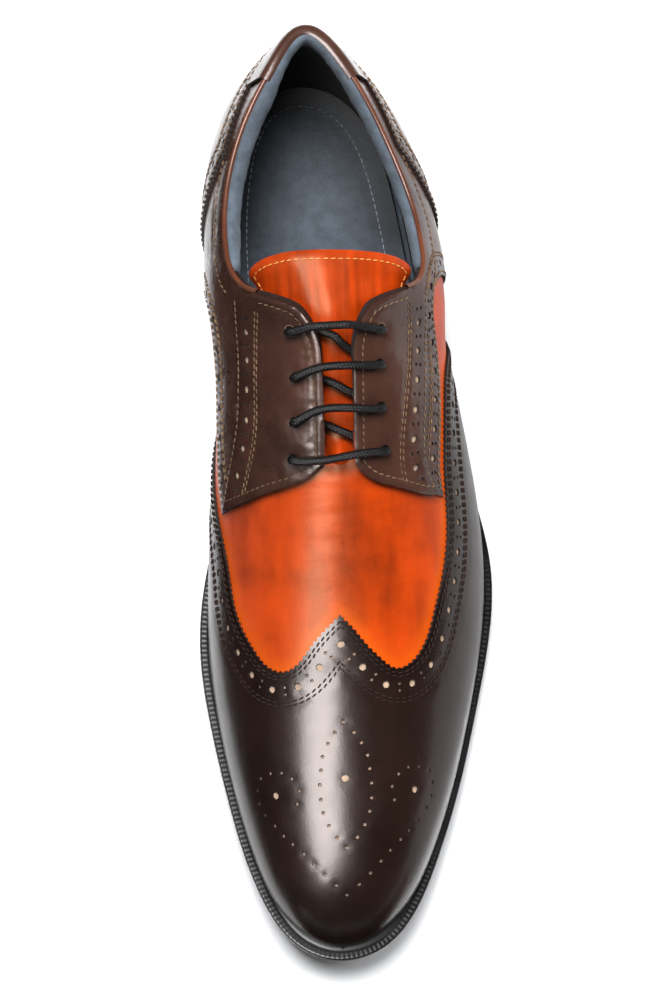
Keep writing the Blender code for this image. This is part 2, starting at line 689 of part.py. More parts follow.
def make_wing():
    """The wing cap, from the welt to its peaked and winged edge."""
    tip = 1 - 5e-4
    low = 0.02
    medial = edge(-1, WING_MEDIAL)
    lateral = edge(1, WING_LATERAL)
    loop = np.concatenate([
        medial, lateral[-2::-1],
        foot_edge(1, lateral[0, 0], tip, low)[1:],
        foot_edge(-1, tip, medial[0, 0], low)[:-1],
    ])
    panel("wing_cap", [loop], GAP, GAP + PANEL_THICK, material("wing_leather", (0.030, 0.014, 0.010), 0.35))


def make_quarter(side, name, lower, front, made_of):
    """A quarter: collar to welt at the back, facing in front, cut away over the side of the vamp."""
    lower_edge = edge(side, lower)
    front_edge = edge(side, front)
    t0 = 1 / LATTICE_TURNS
    start = float(station(t0, LAST_START, LAST_END)) / LONG
    w_top = float(top_rise(np.array([start]), side, 0.6)[0])
    low = 0.02
    rises = np.arange(1, LATTICE_RISES) / LATTICE_RISES
    rises = rises[rises < w_top - 0.03]
    loop = np.concatenate([
        top_edge(side, start, 88.0, 0.6, 7.0),
        top_edge(side, 90.0, 112.0, 0.6, 2.0),
        top_edge(side, 118.0, 146.0, 0.6, 8.0),
        front_edge,
        lower_edge,
        foot_edge(side, lower_edge[-1, 0], t0, low)[1:],
        [(t0, side * (1 - w)) for w in rises],
    ])
    panel(name, [loop] + eyelet_rings(side), GAP, GAP + PANEL_THICK, made_of)


def make_facing(side, name, outer, front, made_of):
    """A facing with its eyelets, applied over the quarter."""
    low = GAP + PANEL_THICK + SECOND_GAP
    loop = np.concatenate([
        top_edge(side, 96.5, 112.0, 0.6, 2.0),
        top_edge(side, 118.0, 146.0, 0.6, 8.0),
        edge(side, front),
        edge(side, outer),
    ])
    panel(name, [loop] + eyelet_rings(side), low, low + PANEL_THICK, made_of)


def make_heel_panels(made_of):
    """The counter round the heel and the tab over its top."""
    low = GAP + PANEL_THICK + SECOND_GAP
    t, w = smooth(COUNTER_FRONT)
    ring = signed_turns(t[0])
    top = np.interp(np.abs(ring), [0.0, t[0]], [0.67, w[0]])
    foot = signed_turns(t[-1])[::-1]
    counter = np.concatenate([
        np.stack([-t, w], -1)[::-1],
        np.stack([ring, top], -1),
        np.stack([t, w], -1),
        np.stack([foot, np.full(len(foot), 0.02)], -1),
    ])
    rear_panel("heel_counter", counter, low, low + PANEL_THICK, made_of)
    span = float(last_turn(TAB_END))
    ring = np.concatenate([[-span], signed_turns(span), [span]])
    s = station(np.abs(ring), LAST_START, LAST_END) / LONG
    top = np.where(ring < 0, top_rise(s, -1, 0.6), top_rise(s, 1, 0.6))
    tab = np.concatenate([
        np.stack([ring, top], -1),
        np.stack([ring, np.full(len(ring), TAB_LOW)], -1)[::-1],
    ])
    rear_panel("heel_tab", tab, low, low + PANEL_THICK, made_of)


def make_tongue():
    """The tongue under the facings; its front end rises to the vamp's inside."""
    half = edge(1, TONGUE_SIDE)
    front_q = np.linspace(-half[0, 1], half[0, 1], 7)[1:-1]
    front = np.stack([np.full(5, half[0, 0]), front_q], -1)
    mirror = half * np.array([1.0, -1.0])
    loop = np.concatenate([half, mirror[-2::-1], front])
    points, tris = divide([loop], lattice_points())
    s = station(points[:, 0], LAST_START, LAST_END) / LONG
    deep = UPPER_WALL + GAP + (TONGUE_DROP - UPPER_WALL - GAP) * (1 - ease((s - 151.0) / 10.0))
    deep = deep + TONGUE_SINK * (1 - ease((s - 92.0) / 22.0))
    deep = deep - TONGUE_LIFT * (points[:, 1] / 0.4)**2 * (1 - ease((s - 88.0) / 10.0))
    top = front_sheet(points, -deep, True)
    bottom = front_sheet(points, -deep - TONGUE_THICK, True)
    verts, faces = slab(bottom, top, tris)
    solid("tongue", verts, faces, material("tongue_leather", (0.45, 0.09, 0.018), 0.45))


def across(start, end, off, count):
    """Points over the last between two eyelets, at a distance from its outside."""
    a = np.array([float(last_turn(start[1])), start[0] * (1 - start[2])])
    b = np.array([float(last_turn(end[1])), end[0] * (1 - end[2])])
    share = np.linspace(0, 1, count)
    return front_sheet(a + (b - a) * share[:, None], np.full(count, off))


def make_lace():
    """One lace: bars over the facings, slants under them, ends inside at the top and bottom eyelets."""
    over = GAP + SECOND_GAP + 2 * PANEL_THICK + 0.4 + LACE_RADIUS
    under = -UPPER_WALL - 0.5 - LACE_RADIUS
    bend = 1.5
    path = []
    medial = [(-1, s, w) for s, w in EYELETS_MEDIAL]
    lateral = [(1, s, w) for s, w in EYELETS_LATERAL]

    def pass_through(eye, heights):
        point = np.array([[float(last_turn(eye[1])), eye[0] * (1 - eye[2])]])
        for height in heights:
            path.append(front_sheet(point, np.array([height]))[0])

    def run(a, b, off, count):
        points = across(a, b, off, 60)
        length = np.concatenate([[0], np.cumsum(np.linalg.norm(np.diff(points, axis=0), axis=1))])
        at = np.linspace(bend, length[-1] - bend, count)
        path.extend(np.stack([np.interp(at, length, points[:, i]) for i in range(3)], -1))

    shallow = 0.42 * bend
    down = [over - shallow, over - bend, under + bend, under + shallow]
    pass_through(lateral[0], down[2:1:-1] + down[1::-1])
    for i in range(4):
        run(lateral[i], medial[i], over, 8)
        pass_through(medial[i], down[:3] if i == 3 else down)
        if i < 3:
            run(medial[i], lateral[i + 1], under, 8)
            pass_through(lateral[i + 1], down[::-1])
    verts, faces = cord(np.array(path), LACE_RADIUS, 7)
    solid("lace", verts, faces, material("lace_cotton", (0.008, 0.008, 0.009), 0.5))


def cord(path, radius, sides):
    """Round cord along a path, with flat ends."""
    tangent = np.gradient(path, axis=0)
    tangent = tangent / np.linalg.norm(tangent, axis=1, keepdims=True)
    side = np.cross(tangent[0], [0.0, 1.0, 0.2])
    verts = []
    angle = np.arange(sides) * 2 * np.pi / sides
    for p, d in zip(path, tangent):
        side = side - d * np.dot(side, d)
        side = side / np.linalg.norm(side)
        other = np.cross(d, side)
        verts.extend(p + radius * (np.cos(a) * side + np.sin(a) * other) for a in angle)
    faces = []
    for k in range(len(path) - 1):
        for i in range(sides):
            j = (i + 1) % sides
            faces.append((k * sides + i, k * sides + j, (k + 1) * sides + j, (k + 1) * sides + i))
    last = (len(path) - 1) * sides
    faces.append(tuple(range(sides)))
    faces.append(tuple(last + i for i in range(sides)))
    return np.array(verts), faces


def build():
    """Build the whole shoe."""
    for old in list(bpy.data.objects):
        bpy.data.objects.remove(old)
    make_sole()
    make_upper()
    make_tongue()
    make_wing()
    brown = material("quarter_leather", (0.040, 0.018, 0.012), 0.4)
    make_quarter(-1, "quarter_medial", QUARTER_LOWER_MEDIAL, FACING_FRONT_MEDIAL, brown)
    make_quarter(1, "quarter_lateral", QUARTER_LOWER_LATERAL, FACING_FRONT_LATERAL, brown)
    facing = material("facing_leather", (0.036, 0.016, 0.011), 0.4)
    make_facing(-1, "facing_medial", FACING_OUTER_MEDIAL, FACING_FRONT_MEDIAL, facing)
    make_facing(1, "facing_lateral", FACING_OUTER_LATERAL, FACING_FRONT_LATERAL, facing)
    make_heel_panels(material("counter_leather", (0.034, 0.016, 0.011), 0.4))
    make_lace()


build()
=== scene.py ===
"""Left wing-tip brogue: leather panels, broguing, thread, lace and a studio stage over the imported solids."""

import math

import bmesh
import bpy
import numpy as np
from bpy.props import FloatProperty, FloatVectorProperty, PointerProperty
from mathutils import Matrix, Vector
from mathutils.geometry import delaunay_2d_cdt
from mathutils.kdtree import KDTree


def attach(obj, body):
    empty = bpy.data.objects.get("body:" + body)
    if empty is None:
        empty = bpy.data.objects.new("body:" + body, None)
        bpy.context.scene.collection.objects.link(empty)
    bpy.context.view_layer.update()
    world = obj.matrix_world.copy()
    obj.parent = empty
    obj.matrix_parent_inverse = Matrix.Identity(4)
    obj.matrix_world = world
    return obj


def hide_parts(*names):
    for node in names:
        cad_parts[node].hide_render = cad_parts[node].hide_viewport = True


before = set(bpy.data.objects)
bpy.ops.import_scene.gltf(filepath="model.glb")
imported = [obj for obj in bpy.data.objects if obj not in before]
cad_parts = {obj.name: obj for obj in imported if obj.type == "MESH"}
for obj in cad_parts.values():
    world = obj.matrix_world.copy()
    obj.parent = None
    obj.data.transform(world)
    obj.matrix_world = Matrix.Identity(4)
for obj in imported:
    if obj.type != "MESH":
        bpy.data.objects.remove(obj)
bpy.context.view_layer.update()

bl_info = {
    "name": "Wing-tip brogue",
    "version": (1, 0, 0),
    "blender": (4, 5, 0),
    "location": "View3D > Sidebar > Brogue",
    "description": "Builds the panels, broguing, thread, lace and stage of a wing-tip brogue",
    "category": "Add Mesh",
}

# Sizes below are in millimetres, in the shoe's own frame: +X lateral, +Y heel, +Z up.
SOLE_LENGTH = 306.0
CENTRE_X = 7.85
OUTSOLE_THICK = 5.5
WELT_THICK = 3.2
GAP = 0.3
HEEL_LIFT = 21.5
TOE_SPRING = 10.2
HEEL_BREAST = 72.0
TOP_PIECE_THICK = 6.0
LAST_START = 3.0
LAST_END = 300.5
# The throat slot: half its width, stations where its round end begins and ends; where the facing top rises.
SLOT_HALF = 3.8
SLOT_END = (147.5, 152.0)
FACING_TOP = (91.0, 106.0)

# Welt edge in plan: station from the heel, medial edge, lateral edge.
SOLE_ROWS = [
    (0.0, 0.0, 0.0), (3.5, -12.5, 13.0), (15.0, -22.8, 25.0), (30.0, -28.3, 31.5), (50.0, -30.8, 35.5),
    (75.0, -30.8, 38.3), (100.0, -28.5, 41.5), (125.0, -29.0, 46.8), (150.0, -33.5, 54.0),
    (174.0, -39.8, 58.2), (198.0, -42.5, 56.0), (222.0, -40.4, 50.3), (246.0, -36.2, 43.6),
    (270.0, -30.6, 35.0), (286.0, -24.8, 27.8), (297.0, -18.2, 20.2), (303.5, -10.0, 11.5),
    (306.0, 0.0, 0.0),
]
# Underside of the outsole: station, share of the heel lift, share of the toe spring.
BOTTOM_ROWS = [
    (0.0, 1.0, 0.0), (30.0, 0.94, 0.0), (60.0, 0.815, 0.0), (90.0, 0.59, 0.0), (120.0, 0.32, 0.0),
    (150.0, 0.11, 0.0), (172.0, 0.015, 0.0), (186.0, 0.0, 0.0), (214.0, 0.0, 0.0), (230.0, 0.0, 0.055),
    (246.0, 0.0, 0.19), (268.0, 0.0, 0.42), (284.0, 0.0, 0.63), (306.0, 0.0, 1.0),
]
# Last sections: station, feather medial, feather lateral, crown x, half gap at the crown, crown height.
LAST_ROWS = [
    (3.0, 0.0, 0.0, 0.0, 0.0, 108.0), (6.0, -11.3, 11.7, 0.0, 4.0, 108.0),
    (18.0, -21.8, 23.5, 0.3, 9.7, 108.5), (35.0, -26.8, 30.0, 0.2, 14.7, 109.5),
    (60.0, -29.2, 34.5, 0.3, 17.7, 110.0),
    (85.0, -29.0, 38.0, 2.4, 18.4, 107.5), (105.0, -29.0, 41.0, 4.2, 18.0, 102.0),
    (122.0, -30.0, 44.5, 4.8, 18.0, 92.5), (150.0, -33.5, 51.0, 4.7, 18.0, 76.5),
    (175.0, -36.8, 53.8, 3.7, 18.0, 65.5), (198.0, -38.0, 51.7, 2.9, 18.0, 57.5),
    (222.0, -36.3, 46.5, 2.7, 18.0, 51.0), (246.0, -32.3, 39.8, 2.4, 18.0, 46.0),
    (268.0, -27.0, 31.8, 2.0, 18.0, 41.5), (284.0, -21.0, 23.8, 1.5, 18.0, 36.5),
    (294.0, -13.8, 15.2, 0.8, 18.0, 29.5), (299.0, -6.7, 7.3, 0.3, 18.0, 22.8),
    (300.5, 0.0, 0.0, 0.0, 18.0, 18.3),
]
# Section fullness: station, foot lean medial and lateral, foot rise, crown reach medial and lateral,
# crown drop.
FULL_ROWS = [
    (3.0, 0.0, 0.0, 24.0, 0.0, 0.0, 34.0), (18.0, 5.0, 7.0, 24.0, 4.5, 4.5, 34.0),
    (35.0, 8.5, 12.0, 24.0, 7.0, 5.5, 34.0), (60.0, 12.0, 20.0, 26.0, 9.5, 7.0, 32.0),
    (85.0, 14.0, 17.5, 29.0, 14.0, 12.5, 24.0), (105.0, 15.0, 13.0, 31.0, 18.0, 19.0, 11.0),
    (122.0, 14.0, 11.0, 31.0, 20.0, 22.5, 2.5), (150.0, 10.0, 6.0, 27.0, 21.5, 26.0, 0.0),
    (175.0, 5.0, 2.0, 23.0, 22.5, 28.0, 0.0), (198.0, 2.5, 1.5, 21.0, 23.0, 28.0, 0.0),
    (222.0, 1.5, 1.5, 18.5, 22.0, 25.5, 0.0), (246.0, 1.5, 1.5, 16.5, 20.0, 22.0, 0.0),
    (268.0, 1.2, 1.2, 14.5, 16.5, 18.0, 0.0), (284.0, 0.9, 0.9, 11.8, 12.5, 13.5, 0.0),
    (294.0, 0.5, 0.5, 7.5, 8.2, 8.8, 0.0), (300.5, 0.0, 0.0, 0.0, 0.0, 0.0, 0.0),
]
# Back seam: height, forward lean.
BACK_ROWS = [
    (18.0, 2.6), (30.0, 1.6), (40.0, 0.4), (52.0, 0.0), (66.0, 1.0), (80.0, 3.2), (94.0, 6.6), (110.0, 12.0),
]
# Collar edge: station, height medial, height lateral.
COLLAR_ROWS = [
    (3.0, 95.0, 95.0), (12.0, 94.0, 93.5), (25.0, 90.0, 89.0), (40.0, 84.5, 83.0), (55.0, 80.5, 78.5),
    (68.0, 79.5, 77.0), (80.0, 82.0, 79.5), (92.0, 87.0, 84.5),
]
# Panel edges: station, rise from the feather edge (0) to the crown (1).
WING = {
    -1: [(118.0, 0.02), (130.0, 0.11), (144.0, 0.195), (162.0, 0.31), (177.3, 0.385), (188.7, 0.422),
         (196.6, 0.468), (204.7, 0.54), (209.4, 0.59), (213.0, 0.66), (213.7, 0.725), (211.0, 0.80),
         (206.1, 0.865), (201.5, 0.935), (197.5, 1.0)],
    1: [(92.0, 0.02), (100.0, 0.17), (107.0, 0.27), (121.0, 0.40), (138.0, 0.475), (150.0, 0.50),
        (164.6, 0.50), (179.6, 0.52), (194.4, 0.57), (207.6, 0.63), (212.0, 0.68), (214.4, 0.755),
        (211.0, 0.835), (206.9, 0.893), (201.5, 0.95), (197.5, 1.0)],
}
FACING_OUTER = {
    -1: [(156.5, 0.38), (146.0, 0.425), (138.0, 0.465), (130.0, 0.49), (121.0, 0.498), (112.5, 0.513),
         (104.0, 0.56), (96.0, 0.645)],
    1: [(156.5, 0.56), (152.0, 0.602), (143.6, 0.618), (134.7, 0.603), (125.4, 0.58), (116.3, 0.558),
        (107.3, 0.568), (99.5, 0.612), (95.5, 0.648)],
}
QUARTER_LOWER = {
    -1: [(158.0, 0.34), (146.0, 0.305), (130.0, 0.285), (114.0, 0.285), (104.0, 0.315), (97.0, 0.355),
         (92.0, 0.365), (87.0, 0.325), (83.5, 0.24), (82.0, 0.12), (81.5, 0.02)],
    1: [(158.5, 0.515), (151.0, 0.53), (142.0, 0.515), (133.0, 0.49), (123.5, 0.46), (113.6, 0.442),
        (105.4, 0.475), (97.4, 0.54), (92.5, 0.55), (87.5, 0.50), (84.0, 0.39), (82.0, 0.2), (81.0, 0.02)],
}
FACING_FRONT = {
    -1: [(151.5, 0.93), (154.5, 0.87), (156.8, 0.70), (158.0, 0.52), (158.0, 0.395)],
    1: [(151.5, 0.94), (154.8, 0.90), (158.0, 0.755), (159.0, 0.63), (158.2, 0.565)],
}
COUNTER_FRONT = [(43.0, 0.625), (49.5, 0.50), (56.0, 0.38), (62.0, 0.25), (67.0, 0.13), (71.0, 0.02)]
EYELETS = {
    -1: [(110.3, 0.82), (124.5, 0.806), (137.5, 0.798), (148.3, 0.788)],
    1: [(111.0, 0.824), (121.8, 0.82), (134.3, 0.828), (147.0, 0.82)],
}
TONGUE_SIDE = [(164.0, 0.76), (150.0, 0.70), (136.0, 0.66), (122.0, 0.64), (108.0, 0.615), (99.0, 0.60),
               (94.5, 0.598), (91.5, 0.605), (89.2, 0.628), (88.0, 0.665), (87.4, 0.72), (87.2, 0.79),
               (87.2, 0.90), (87.2, 1.0)]
TONGUE_SPREAD = 1.0
# How each lace bar bows along the shoe: at its middle, near its medial end.
LACE_BOWS = [(-0.5, 0.2), (-1.2, 0.0), (-2.0, 0.0), (1.6, 0.3)]
# Medallion on the toe: station, distance from the middle line over the leather; punched on both sides.
MEDALLION_ALMOND = [
    (231.5, 0.0), (235.0, 3.0), (238.4, 5.3), (242.4, 7.2), (246.7, 7.8), (251.3, 8.3), (256.0, 8.1),
    (260.3, 7.4), (264.5, 5.7), (268.4, 3.2), (271.6, 0.0),
]
MEDALLION_CURL = [
    (256.6, 16.1), (252.4, 15.3), (248.3, 17.8), (246.0, 21.6), (245.6, 26.0), (246.6, 30.4), (250.2, 32.2),
    (254.5, 31.7), (258.5, 29.2), (262.5, 25.0), (266.1, 21.6), (269.1, 18.2), (272.6, 14.3), (276.0, 10.9),
    (279.7, 7.3), (283.1, 3.7), (286.2, 0.0),
]
MEDALLION_LARGE = [(249.5, 0.0), (253.0, 24.1)]

# Millimetres that one turn and one rise stand for where a sheet is laid out flat.
SHEET = np.array([430.0, 70.0])
# Outer face of the panels off the last: wing and quarters, then facings, counter and tab; leather thickness.
LOW_LAYER = 1.3
HIGH_LAYER = 2.7
LEATHER = 1.0
# Rise of the counter's top edge at the back seam, and crown distance of the panels' lower edges.
COUNTER_TOP = 0.67
FOOT_EDGE = 0.999
SIDES = ((-1, "medial"), (1, "lateral"))


def linear(code):
    """Turn an sRGB hex colour into linear red, green and blue."""
    parts = [int(code[i:i + 2], 16) / 255 for i in (1, 3, 5)]
    return tuple(c / 12.92 if c <= 0.04045 else ((c + 0.055) / 1.055)**2.4 for c in parts)


def metres(name, description, default):
    """A size setting."""
    return FloatProperty(name=name, description=description, default=default, unit="LENGTH", precision=5)


def dye(name, description, code):
    """A colour setting."""
    return FloatVectorProperty(name=name, description=description, subtype="COLOR", default=linear(code))


class BrogueSizes(bpy.types.PropertyGroup):
    """Sizes of the surface work."""

    tooth_pitch: metres("Tooth pitch", "Pinked edge, tooth to tooth", 0.002)
    tooth_depth: metres("Tooth depth", "Pinked edge, tip to root", 0.00075)
    large_hole: metres("Large punch", "Radius of the large holes", 0.00125)
    small_hole: metres("Small punch", "Radius of the small holes", 0.00062)
    hole_pitch: metres("Punch pitch", "Large hole to large hole", 0.0098)
    stitch_pitch: metres("Stitch pitch", "Stitch to stitch", 0.0024)
    stitch_length: metres("Stitch length", "Thread seen in one stitch", 0.0019)
    thread: metres("Thread", "Thickness of the sewing thread", 0.00047)
    eyelet: metres("Eyelet", "Radius of the punched eyelets", 0.00185)
    lace: metres("Lace", "Radius of the round lace", 0.00138)


class BrogueColours(bpy.types.PropertyGroup):
    """Colours of the leathers, lining, thread and sole."""

    wing: dye("Wing", "Dark brown of the wing cap", "#1d110d")
    quarter: dye("Quarter", "Brown of quarters, facings and counter", "#3c251d")
    vamp: dye("Vamp", "Orange of the vamp and tongue", "#ad3706")
    burnish: dye("Burnish", "Red brown rubbed into the orange", "#742306")
    lining: dye("Lining", "Blue grey of the lining", "#525b65")
    insole: dye("Insole", "Slate of the insole", "#484f57")
    thread: dye("Thread", "Tan of the sewing thread", "#705943")
    edge: dye("Sole edge", "Black of the sole and welt", "#0c0c0d")


def mm(name):
    """A surface size in millimetres."""
    return getattr(bpy.context.scene.brogue_sizes, name) * 1000.0


def colour(name):
    """A colour of the shoe."""
    return tuple(getattr(bpy.context.scene.brogue_colours, name))


# The shape of the last.

def spline(knots, values):
    """Return the natural cubic spline through the knots."""
    k = np.asarray(knots, float)
    v = np.asarray(values, float)
    h = np.diff(k)
    a = np.eye(len(k))
    b = np.zeros(len(k))
    for i in range(1, len(k) - 1):
        a[i, i - 1:i + 2] = h[i - 1], 2 * (h[i - 1] + h[i]), h[i]
        b[i] = 6 * ((v[i + 1] - v[i]) / h[i] - (v[i] - v[i - 1]) / h[i - 1])
    m = np.linalg.solve(a, b)

    def at(x):
        x = np.clip(np.asarray(x, float), k[0], k[-1])
        i = np.clip(np.searchsorted(k, x) - 1, 0, len(k) - 2)
        d = x - k[i]
        e = k[i + 1] - x
        bend = (m[i] * e**3 + m[i + 1] * d**3) / (6 * h[i])
        return bend + (v[i] / h[i] - m[i] * h[i] / 6) * e + (v[i + 1] / h[i] - m[i + 1] * h[i] / 6) * d

    return at


def turn(s, start=LAST_START, end=LAST_END):
    """Station to turn, 0 at the heel and 1 at the toe."""
    share = np.clip((np.asarray(s, float) - start) / (end - start), 0, 1)
    return np.arccos(1 - 2 * share) / np.pi


def station(t, start=LAST_START, end=LAST_END):
    """Turn back to station."""
    return start + (end - start) * (1 - np.cos(np.pi * np.asarray(t, float))) / 2


def columns(rows, knots):
    """Splines through the columns of a row table."""
    table = np.array(rows)
    return [spline(knots, table[:, i]) for i in range(1, table.shape[1])]


SOLE_EDGES = columns(SOLE_ROWS, turn(np.array(SOLE_ROWS)[:, 0], 0, SOLE_LENGTH))
BOTTOM = columns(BOTTOM_ROWS, np.array(BOTTOM_ROWS)[:, 0])
LAST = columns(LAST_ROWS, turn(np.array(LAST_ROWS)[:, 0]))
FULL = columns(FULL_ROWS, turn(np.array(FULL_ROWS)[:, 0]))
BACK = columns(BACK_ROWS, np.array(BACK_ROWS)[:, 0])[0]
COLLAR = columns(COLLAR_ROWS, np.array(COLLAR_ROWS)[:, 0])


def underside(s):
    """Height of the outsole's underside."""
    return np.maximum(BOTTOM[0](s) * HEEL_LIFT + BOTTOM[1](s) * TOE_SPRING, 0.0)


def seat(s):
    """Height of the feather edge."""
    return underside(s) + OUTSOLE_THICK + WELT_THICK + 2 * GAP


def ease(u):
    """Smooth step from 0 to 1."""
    u = np.clip(u, 0, 1)
    return u**3 * (10 - 15 * u + 6 * u * u)


def wall(t, side, w, closed=False):
    """Point on the outside of the last; closed leaves no opening at the collar."""
    t = np.asarray(t, float)
    w = np.asarray(w, float)
    lateral = np.asarray(side) > 0
    medial_foot, lateral_foot, crown_x, gap, crown_z = [f(t) for f in LAST]
    top_t = np.maximum(t, turn(122.0)) if closed else t
    lean_m, lean_l, rise = [f(t) for f in FULL[:3]]
    reach_m, reach_l, drop = [f(top_t) for f in FULL[3:]]
    drop = 0.0 if closed else drop
    s = station(t)
    gap = gap * (1 - ease((s - 80.0) / 42.0))
    spread_out = TONGUE_SPREAD * gap if closed else 0.0
    gap = 0.0 if closed else gap
    foot_z = seat(s)
    out = np.where(lateral, 1.0, -1.0)
    foot_x = np.where(lateral, lateral_foot, medial_foot)
    top_x = crown_x + out * gap
    low_x = foot_x + out * np.where(lateral, lean_l, lean_m)
    high_x = top_x + out * (np.where(lateral, reach_l, reach_m) + spread_out)
    b = ((1 - w)**3, 3 * w * (1 - w)**2, 3 * w * w * (1 - w), w**3)
    x = b[0] * foot_x + b[1] * low_x + b[2] * high_x + b[3] * top_x
    z = b[0] * foot_z + b[1] * (foot_z + rise) + b[2] * (crown_z - drop) + b[3] * crown_z
    s = s + BACK(z) * np.exp(-((s - LAST_START) / 45.0)**2)
    return np.stack([x - CENTRE_X, SOLE_LENGTH / 2 - s, z], -1)


def skin(t, side, w, off=0.0, closed=False):
    """Point off the last's outside by a distance along its normal."""
    t = np.asarray(t, float)
    side = np.where(np.asarray(side) > 0, 1, -1)
    tc = np.clip(t, 2e-4, 1 - 2e-4)
    wc = np.clip(w, 1e-3, 1 - 1e-3)
    along = wall(tc + 1e-4, side, wc, closed) - wall(tc - 1e-4, side, wc, closed)
    up = wall(tc, side, wc + 1e-3, closed) - wall(tc, side, wc - 1e-3, closed)
    n = np.cross(up, along) * side[..., None]
    n[..., 0] = np.where(t < 1e-3, 0.0, n[..., 0])
    n = n / np.linalg.norm(n, axis=-1, keepdims=True)
    n = np.where((t > 1 - 1e-6)[..., None], np.array([0.0, -1.0, 0.0]), n)
    return wall(t, side, w, closed) + np.asarray(off, float)[..., None] * n


def front(p, off=0.0):
    """Sheet of turn and crown distance, laid on the last."""
    p = np.asarray(p, float)
    return skin(p[:, 0], np.where(p[:, 1] < 0, -1, 1), 1 - np.abs(p[:, 1]), off)


def bridged(p, off=0.0):
    """The same sheet with the collar and throat closed, for the tongue."""
    p = np.asarray(p, float)
    return skin(p[:, 0], np.where(p[:, 1] < 0, -1, 1), 1 - np.abs(p[:, 1]), off, True)


def rear(p, off=0.0):
    """Sheet of signed turn and rise, wrapped round the heel."""
    p = np.asarray(p, float)
    return skin(np.abs(p[:, 0]), np.where(p[:, 0] < 0, -1, 1), p[:, 1], off)


def rise_at(t, side, height):
    """Rise at which the last's outside reaches a height."""
    low = np.zeros_like(t)
    high = np.ones_like(t)
    for _ in range(40):
        mid = (low + high) / 2
        below = wall(t, side, mid)[..., 2] < height
        low = np.where(below, mid, low)
        high = np.where(below, high, mid)
    return (low + high) / 2


def top_rise(s, side, inset=0.0):
    """Rise of the top edge at stations: collar, facing top, throat slot, then the crown."""
    s = np.asarray(s, float)
    t = turn(s)
    collar = rise_at(t, side, COLLAR[0 if side < 0 else 1](s) - inset)
    reach = np.maximum(FULL[3 if side < 0 else 4](t), 5.0)
    closing = np.clip((s - SLOT_END[0]) / (SLOT_END[1] - SLOT_END[0]), 0, 1)
    slot = 1 - (SLOT_HALF * np.sqrt(1 - closing**2) + inset) / (3 * reach)
    mix = np.clip((s - FACING_TOP[0]) / (FACING_TOP[1] - FACING_TOP[0]), 0, 1)
    mix = mix * mix * (3 - 2 * mix)
    return collar + (slot - collar) * mix


# Lines and holes on a sheet.

def run_along(points):
    """Distance run along a line of points."""
    return np.concatenate([[0], np.cumsum(np.linalg.norm(np.diff(points, axis=0), axis=1))])


def resampled(points, run, at):
    """Points of a line at some distances along it."""
    return np.stack([np.interp(at, run, column) for column in points.T], -1)


def smoothed(points, run, at):
    """Points of the smooth curve through a line at some distances along it."""
    return np.stack([spline(run, column)(at) for column in points.T], -1)


def spot_at(side, s, w):
    """A station and rise as turn and signed crown distance."""
    return np.array([float(turn(s)), side * (1 - w)])


def eyelet_holes(side):
    """Places and radii of one side's eyelets."""
    return [(spot_at(side, s, w), mm("eyelet")) for s, w in EYELETS[side]]


def curve(side, rows):
    """A panel edge through station and rise rows, as turn and signed crown distance."""
    rows = np.array(rows, float)
    flat = np.stack([turn(rows[:, 0]), side * (1 - rows[:, 1])], -1) * SHEET
    chord = run_along(flat)
    return smoothed(flat, chord, np.linspace(0, chord[-1], max(3, int(chord[-1])))) / SHEET


def top_line(side, start, end, inset, count):
    """The top edge between two stations."""
    t = np.linspace(float(turn(start)), float(turn(end)), count)
    return np.stack([t, side * (1 - top_rise(station(t), side, inset))], -1)


def level(a, b, q, count):
    """A line of one crown distance between two turns."""
    return np.stack([np.linspace(a, b, count), np.full(count, q)], -1)


def spread(sheet, p):
    """Millimetres run by the two ways of a sheet at its points."""
    h = 2e-4
    du = (sheet(p + np.array([h, 0])) - sheet(p - np.array([h, 0]))) / (2 * h)
    dv = (sheet(p + np.array([0, h])) - sheet(p - np.array([0, h]))) / (2 * h)
    return du, dv


def onto(du, dv, move):
    """A step in millimetres as a step on the sheet."""
    a = np.sum(du * du, -1)
    b = np.sum(du * dv, -1)
    c = np.sum(dv * dv, -1)
    e = np.sum(du * move, -1)
    f = np.sum(dv * move, -1)
    d = np.maximum(a * c - b * b, 1e-9)
    return np.stack([(c * e - b * f) / d, (a * f - b * e) / d], -1)


def unit(v):
    """Vectors of length one."""
    return v / np.maximum(np.linalg.norm(v, axis=-1, keepdims=True), 1e-12)


def ways(sheet, line):
    """Along, left and normal directions at the points of a line, with the sheet's spread."""
    du, dv = spread(sheet, line)
    slope = np.gradient(line, axis=0)
    along = unit(du * slope[:, :1] + dv * slope[:, 1:])
    normal = unit(np.cross(du, dv))
    return along, np.cross(normal, along), normal, du, dv


def sidestep(sheet, line, distance):
    """Move a line to its left over the surface by millimetres."""
    _, left, _, du, dv = ways(sheet, line)
    return line + onto(du, dv, left * np.reshape(distance * np.ones(len(line)), (-1, 1)))


def walk(sheet, line, step):
    """Points evenly along a line on the surface."""
    length = run_along(sheet(line))
    at = np.linspace(0, length[-1], max(2, int(round(length[-1] / step)) + 1))
    return resampled(line, length, at)


def pinked(sheet, line, side):
    """Cut an edge into teeth, to its left for side +1."""
    fine = walk(sheet, line, mm("tooth_pitch") / 4)
    tooth = np.array([0.0, 0.45, 1.0, 0.45])[np.arange(len(fine)) % 4]
    return sidestep(sheet, fine, side * mm("tooth_depth") * tooth)


def ring(sheet, spot, radius, count):
    """A round hole on a sheet."""
    p = np.array([spot])
    du, dv = spread(sheet, p)
    first = unit(du)
    second = np.cross(unit(np.cross(du, dv)), first)
    a = np.arange(count) * 2 * np.pi / count
    move = radius * (np.cos(a)[:, None] * first + np.sin(a)[:, None] * second)
    return p + onto(np.repeat(du, count, 0), np.repeat(dv, count, 0), move)


